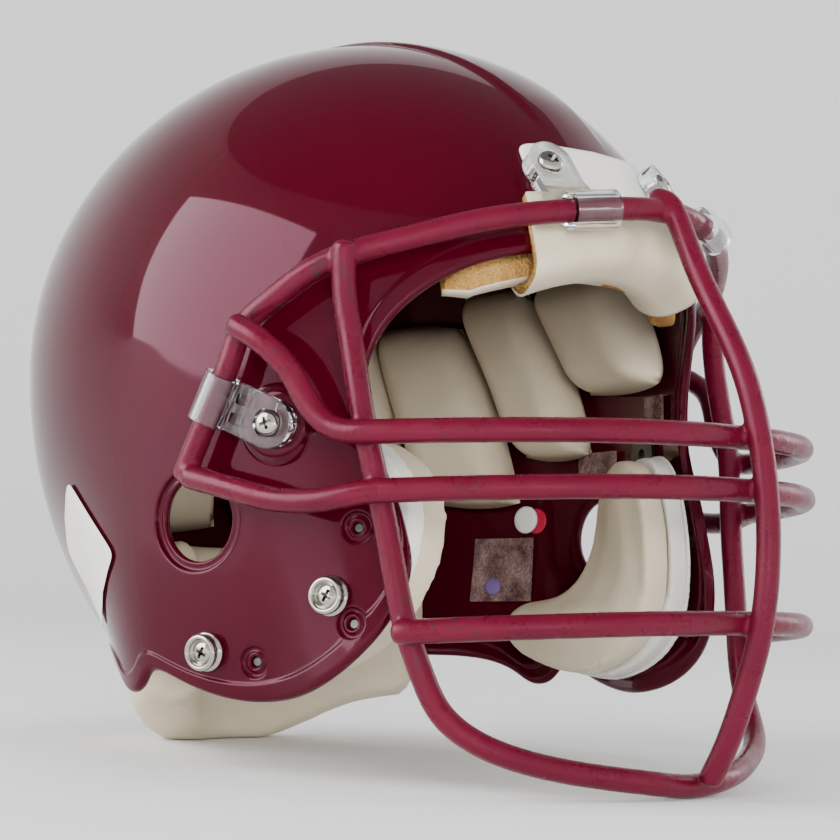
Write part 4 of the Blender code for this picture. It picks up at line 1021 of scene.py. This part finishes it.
def tilted_label(material):
    """The blank label on the back: a rounded sheet turned on the shell."""
    turns = np.linspace(0, 2 * np.pi, 120, endpoint=False)
    corner_u, corner_v = squared_circle(turns, 0.18, 0.18)
    rings = []
    for share, lift in LABEL_LEVELS:
        u, v = share * (corner_u * LABEL_HALF[0]), share * (corner_v * LABEL_HALF[1])
        sideways = u * math.cos(LABEL_TILT) - v * math.sin(LABEL_TILT)
        heights = LABEL_HEIGHT - u * math.sin(LABEL_TILT) - v * math.cos(LABEL_TILT)
        angles = math.radians(LABEL_ANGLE) + sideways / (0.88 * HALF_LENGTH)
        rings.append(wall_points(angles, heights, lift))
    return drawn("blank_label", loft(rings), material)


def make_trim(white, tape):
    board = plate("forehead_plate", (-109.5, -70.5), (0.0478, 0.0672), 0.0006, 0.0013, white)
    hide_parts("nameplate")
    label = tilted_label(white)
    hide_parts("rear_label")
    for node in HOOK_TAPES:
        dress(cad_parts[node], tape)


def make_inside_dots():
    """The small finds on the left wall inside: a white disc over a red one, and a violet bead."""
    white = plastic_material("disc_white", (0.74, 0.73, 0.70))
    red = plastic_material("disc_red", (0.42, 0.010, 0.045))
    violet = plastic_material("bead_violet", (0.16, 0.10, 0.26))
    dots = (("inspection_disc", white, (0.009, -0.0530), 0.0056, 0.0016, 0.0012),
            ("inspection_backing", red, (0.0045, -0.0535), 0.0052, 0.0008, 0.0003),
            ("inner_bead", violet, (0.023, -0.0810), 0.0036, 0.0030, 0.0003))
    for name, material, place, radius, height, foot in dots:
        seat, normal = side_seat(place, 1)
        seat = seat - normal * (WALL + 0.0002)
        inward = -normal
        profile = ((0, foot), (radius, foot), (radius, foot + 0.6 * height),
                   (0.9 * radius, foot + 0.88 * height), (0.6 * radius, foot + height), (0, foot + height))
        drawn(name, turned(profile, seat, inward), material)


def make_hardware(steel):
    # the snaps and nuts are steel, made very dark as painted shade for the holes they sit in
    for name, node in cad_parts.items():
        if "_nut_" in name or "_snap_" in name:
            dress(node, steel)


def solid(name, shape):
    """A plain helper mesh object of (points, faces) in the helmet's frame."""
    mesh = mesh_of(name, *shape)
    face_out(mesh)
    piece = bpy.data.objects.new(mesh.name, mesh)
    bpy.context.scene.collection.objects.link(piece)
    return piece


def combine(obj, operation, shapes):
    """Joins shapes, each (points, faces) in the helmet's frame, to an object or cuts them out of it."""
    tools = [solid(f"{obj.name}_tool_{number}", shape) for number, shape in enumerate(shapes)]
    for tool in tools:
        boolean = obj.modifiers.new("boolean", "BOOLEAN")
        boolean.operation = operation
        boolean.solver = "EXACT"
        boolean.object = tool
    apply_modifiers(obj)
    for tool in tools:
        bpy.data.objects.remove(tool)


def turned(profile, seat, normal, segments=48, loop=False):
    """(points, faces) of a turned body; profile is (radius, height) from end to end, or round a ring."""
    across, up = tangents(normal)
    turns = 2 * np.pi * np.arange(segments) / segments
    rings = [seat + normal * height + max(radius, 1e-5) * (np.cos(turns)[:, None] * across
                                                          + np.sin(turns)[:, None] * up)
             for radius, height in profile]
    return loft(rings, loop=loop)


def cylinder(radius, low, high, seat, normal):
    return turned(((0, low), (radius, low), (radius, high), (0, high)), seat, normal)


def corners(low, high):
    return (low[0], low[1]), (high[0], low[1]), (high[0], high[1]), (low[0], high[1])


def block(seat, u, v, w, low, high):
    """(points, faces) of a box in the directions u, v, w from a place."""
    return loft([[seat + u * a + v * b + w * c for a, b in corners(low, high)] for c in (low[2], high[2])])


def soften_edges(obj, width, segments=3, angle=32):
    bevel = obj.modifiers.new("soft_edges", "BEVEL")
    bevel.width = width
    bevel.segments = segments
    bevel.limit_method = "ANGLE"
    bevel.angle_limit = math.radians(angle)
    apply_modifiers(obj)
    obj.data.shade_smooth()
    obj.data.set_sharp_from_angle(angle=math.radians(40))
    even = obj.modifiers.new("even_normals", "WEIGHTED_NORMAL")
    even.keep_sharp = True
    even.weight = 80
    apply_modifiers(obj)


CLIP_HALF = 0.0083
CLIP_THICKNESS = 0.0055
CLIP_WALL = 0.0021
CLIP_CLEARANCE = 0.0004
SIDE_CLIP_FOOT = 0.0027        # heights over the shell that the clips stand at
TOP_CLIP_FOOT = 0.0022
SIDE_CLIP_WINDOWS = (((0.0088, 0.0016), (0.0140, 0.0052)), ((0.0088, -0.0052), (0.0140, -0.0016)))


def make_clip(name, node, seat, normal, wire_at, wire_along, foot, windows, material):
    """A clear moulded clip: a rounded tab under the screw that ramps up into a loop round the wire."""
    toward = wire_at - seat
    rise = toward @ normal
    toward = toward - normal * rise
    reach = np.linalg.norm(toward)
    toward = unit(toward)
    across = np.cross(normal, toward)
    top = foot + CLIP_THICKNESS
    lift = max(rise - WIRE - foot - 0.5 * CLIP_THICKNESS, 0.0)
    shares = smooth(np.linspace(0, 1, 9))
    ramp = np.stack([np.linspace(0.0085, reach, 9), lift * shares], 1)
    profile = [(0.0, foot), *(ramp + (0, foot)), *(ramp + (0, top))[::-1], (0.0, top)]
    rings = [[seat + toward * u + across * v + normal * w for u, w in profile]
             for v in (-CLIP_HALF, CLIP_HALF)]
    clip = drawn(name, loft(rings), material)
    outer = WIRE + CLIP_CLEARANCE + CLIP_WALL
    grown = CLIP_HALF + 0.0001
    end = cylinder(grown, foot - 1e-4, top + 1e-4, seat, normal)
    loop = cylinder(outer, -CLIP_HALF, CLIP_HALF, wire_at, wire_along)
    combine(clip, "UNION", (end, loop))
    bore = cylinder(WIRE + CLIP_CLEARANCE, -0.03, 0.03, wire_at, wire_along)
    well = turned(((0, -0.004), (0.0025, -0.004), (0.0025, top - 0.0017), (0.0050, top - 0.0015),
                   (0.0052, top + 0.01), (0, top + 0.01)), seat, normal)
    cuts = [bore, well]
    for low, high in windows:
        cuts.append(block(seat, toward, across, normal, (*low, top - 0.0030), (*high, top + 0.02)))
    combine(clip, "DIFFERENCE", cuts)
    soften_edges(clip, 0.0004)
    dress(clip, material)
    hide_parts(node)
    return top - 0.0013


SCREW_RECESS = ((0.0006, 0.0007, 0.00035), (0.0034, 0.0026, 0.00062))   # height, half length, half width


def make_screw(name, node, seat, normal, foot, material, spin):
    """A pan-head cross-recess screw."""
    profile = ((0.0, foot - 0.012), (0.0020, foot - 0.012), (0.0020, foot), (0.0043, foot),
               (0.00455, foot + 0.0004), (0.00450, foot + 0.0011), (0.0040, foot + 0.0020),
               (0.0030, foot + 0.0026), (0.0015, foot + 0.0029), (0.0, foot + 0.0029))
    screw = drawn(name, turned(profile, seat, normal), material)
    across, up = tangents(normal)
    u = math.cos(spin) * across + math.sin(spin) * up
    v = np.cross(normal, u)
    cuts = []
    for a, b in ((u, v), (v, u)):
        rings = []
        for height, length, width in SCREW_RECESS:
            centre = seat + normal * (foot + height)
            rings.append([centre + a * x + b * y for x, y in corners((-length, -width), (length, width))])
        cuts.append(loft(rings))
    combine(screw, "DIFFERENCE", cuts)
    dress(screw, material)
    flat = screw.modifiers.new("edges", "EDGE_SPLIT")
    flat.split_angle = math.radians(38)
    apply_modifiers(screw)
    screw.data.shade_smooth()
    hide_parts(node)


def wire_spot(spots, target):
    """The point of a wire nearest to a place, and the wire's direction there."""
    k = int(np.argmin(np.linalg.norm(spots - target, axis=1)))
    return spots[k], unit(spots[k + 6] - spots[k - 6])


def make_clips(clear, nickel):
    wire = spline(PERIMETER_WIRE, 900)
    side_target = 0.5 * (np.array(PERIMETER_WIRE[1]) + np.array(PERIMETER_WIRE[2]))
    top_target = np.array(PERIMETER_WIRE[10])
    for side, label in SIDES:
        mirror = np.array((-side, 1, 1))
        side_clip = "side", side_seat(SIDE_SCREW, side), side_target, SIDE_CLIP_FOOT, SIDE_CLIP_WINDOWS, 0.3
        top_clip = "top", top_seat(side), top_target, TOP_CLIP_FOOT, (), 0.9
        for where, seat, target, foot, windows, spin in (side_clip, top_clip):
            spot = wire_spot(wire * mirror, target * mirror)
            head = make_clip(f"{where}_clip_body_{label}", f"{where}_clip_{label}", *seat, *spot, foot,
                             windows, clear)
            make_screw(f"{where}_screw_{label}", f"{where}_clip_screw_{label}", *seat, head, nickel, spin)


def make_studs(nickel):
    """Chin-strap snaps: a flanged stud with a rolled rim, and a cross-recess screw down in its well."""
    profile = ((0.0026, 0.0004), (0.0066, 0.0004), (0.0068, 0.0007), (0.0067, 0.0012), (0.0063, 0.0015),
               (0.0058, 0.0017), (0.0055, 0.0024), (0.0056, 0.0030), (0.0061, 0.0034), (0.0063, 0.0040),
               (0.0062, 0.0046), (0.0058, 0.0051), (0.0052, 0.0053), (0.0047, 0.0051), (0.0044, 0.0044),
               (0.0042, 0.0032), (0.0026, 0.0030))
    for side, label in SIDES:
        for place, where in zip(STRAP_STUDS, ("front", "rear")):
            seat, normal = side_seat(place, side)
            stud = drawn(f"snap_stud_{where}_{label}", turned(profile, seat, normal, 56, loop=True), nickel)
            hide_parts(f"strap_stud_{where}_{label}")
            make_screw(f"snap_screw_{where}_{label}", f"strap_stud_screw_{where}_{label}", seat, normal,
                       0.0012, nickel, 0.5 + side)


# ---- camera, floor and light ---------------------------------------------------------------------
CAMERA_AZIMUTH = math.radians(-45.63)
CAMERA_PITCH = math.radians(-5.07)
CAMERA_PLACE = (-0.64503, -0.66453, -0.10061)
CAMERA_LENS = 104.84
FLOOR_SEGMENTS = 96
FLOOR_REACH = 1.4
FLOOR_CURVE = 1.2
BACKDROP_TOP = 3.2
# Lights: name, place, width, height, power, and whether they show in reflections.
LIGHTS = (("window_left", (-1.75, 0.80, 0.88), 1.72, 1.55, 66, True),
          ("top", (0.15, -0.15, 2.0), 0.9, 0.9, 10, False),
          ("right_back", (1.9, -0.5, 0.7), 0.4, 0.9, 7, True),
          ("face_fill", (-1.25, -1.45, 0.42), 0.6, 0.6, 36, False),
          ("front_low", (0.25, -1.9, 0.18), 0.6, 0.6, 18, False))
LIGHT_TARGET = (0, 0, 0.13)
SKY_COLOUR = (0.92, 0.94, 1.0, 1.0)
SKY_STRENGTH = 0.30


def make_camera():
    flat = math.cos(CAMERA_PITCH)
    back = Vector((math.sin(CAMERA_AZIMUTH) * flat, -math.cos(CAMERA_AZIMUTH) * flat, math.sin(CAMERA_PITCH)))
    right = (-back).cross(Vector((0, 0, 1))).normalized()
    up = back.cross(right)
    turn = Matrix((right, up, back)).transposed().to_4x4()
    data = bpy.data.cameras.new("camera")
    data.lens = CAMERA_LENS
    data.sensor_width = 36
    data.clip_start = 0.01
    camera = bpy.data.objects.new("camera", data)
    bpy.context.scene.collection.objects.link(camera)
    camera.matrix_world = HELMET @ Matrix.Translation(CAMERA_PLACE) @ turn
    bpy.context.scene.camera = camera


def make_floor():
    """A pale floor that curves up far away into a pale backdrop on every side."""
    curve = [(FLOOR_REACH + FLOOR_CURVE * math.sin(a), FLOOR_CURVE - FLOOR_CURVE * math.cos(a))
             for a in np.radians(np.arange(6, 91, 6))]
    profile = [(FLOOR_REACH, 0.0), *curve, (FLOOR_REACH + FLOOR_CURVE, BACKDROP_TOP)]
    turns = 2 * np.pi * np.arange(FLOOR_SEGMENTS) / FLOOR_SEGMENTS
    rings = [np.stack([radius * np.cos(turns), radius * np.sin(turns), np.full(FLOOR_SEGMENTS, height)], 1)
             for radius, height in profile]
    points, faces = loft(rings, cap=False)
    faces.append(tuple(range(FLOOR_SEGMENTS))[::-1])
    mesh = bpy.data.meshes.new("floor")
    mesh.from_pydata(points.tolist(), [], [tuple(int(i) for i in face) for face in faces])
    floor = bpy.data.objects.new("floor", mesh)
    bpy.context.scene.collection.objects.link(floor)
    made = Nodes("pale_floor")
    made.set(Base_Color=(0.88, 0.88, 0.875), Roughness=0.85, Specular_IOR_Level=0.2)
    mesh.materials.append(made.material)
    mesh.shade_smooth()


def make_lights():
    for name, place, width, height, power, glossy in LIGHTS:
        data = bpy.data.lights.new(name, "AREA")
        data.shape = "RECTANGLE"
        data.size = width
        data.size_y = height
        data.energy = power
        light = bpy.data.objects.new(name, data)
        bpy.context.scene.collection.objects.link(light)
        light.location = place
        light.rotation_euler = (Vector(LIGHT_TARGET) - Vector(place)).to_track_quat("-Z", "Y").to_euler()
        light.visible_glossy = glossy
    world = bpy.context.scene.world or bpy.data.worlds.new("world")
    bpy.context.scene.world = world
    world.use_nodes = True
    background = world.node_tree.nodes["Background"]
    background.inputs["Color"].default_value = SKY_COLOUR
    background.inputs["Strength"].default_value = SKY_STRENGTH


# ---- build ---------------------------------------------------------------------------------------
make_camera()
make_floor()
make_lights()
maroon = shell_material()
cream = vinyl_material("cream_vinyl", (0.66, 0.575, 0.43), (0.50, 0.415, 0.29))
white = plastic_material("white_plastic", (0.76, 0.74, 0.68))
foam = foam_material()
nickel = metal_material("nickel_plate", (0.50, 0.47, 0.42), 0.07, 0.16)
# painted shade: a real steel, darkened so that the hardware down in the holes reads as shaded
steel = metal_material("steel_darkened_as_hole_shade", (0.14, 0.14, 0.14), 0.30, 0.45)
make_shell(maroon)
make_shell_details(maroon)
make_cage(cage_material())
make_liner(cream)
make_jaw_pads(cream, white)
make_front_pad(cream, foam)
make_neck_pad(cream)
make_trim(white, tape_material())
make_hardware(steel)
make_inside_dots()
make_clips(clear_material(), nickel)
make_studs(nickel)
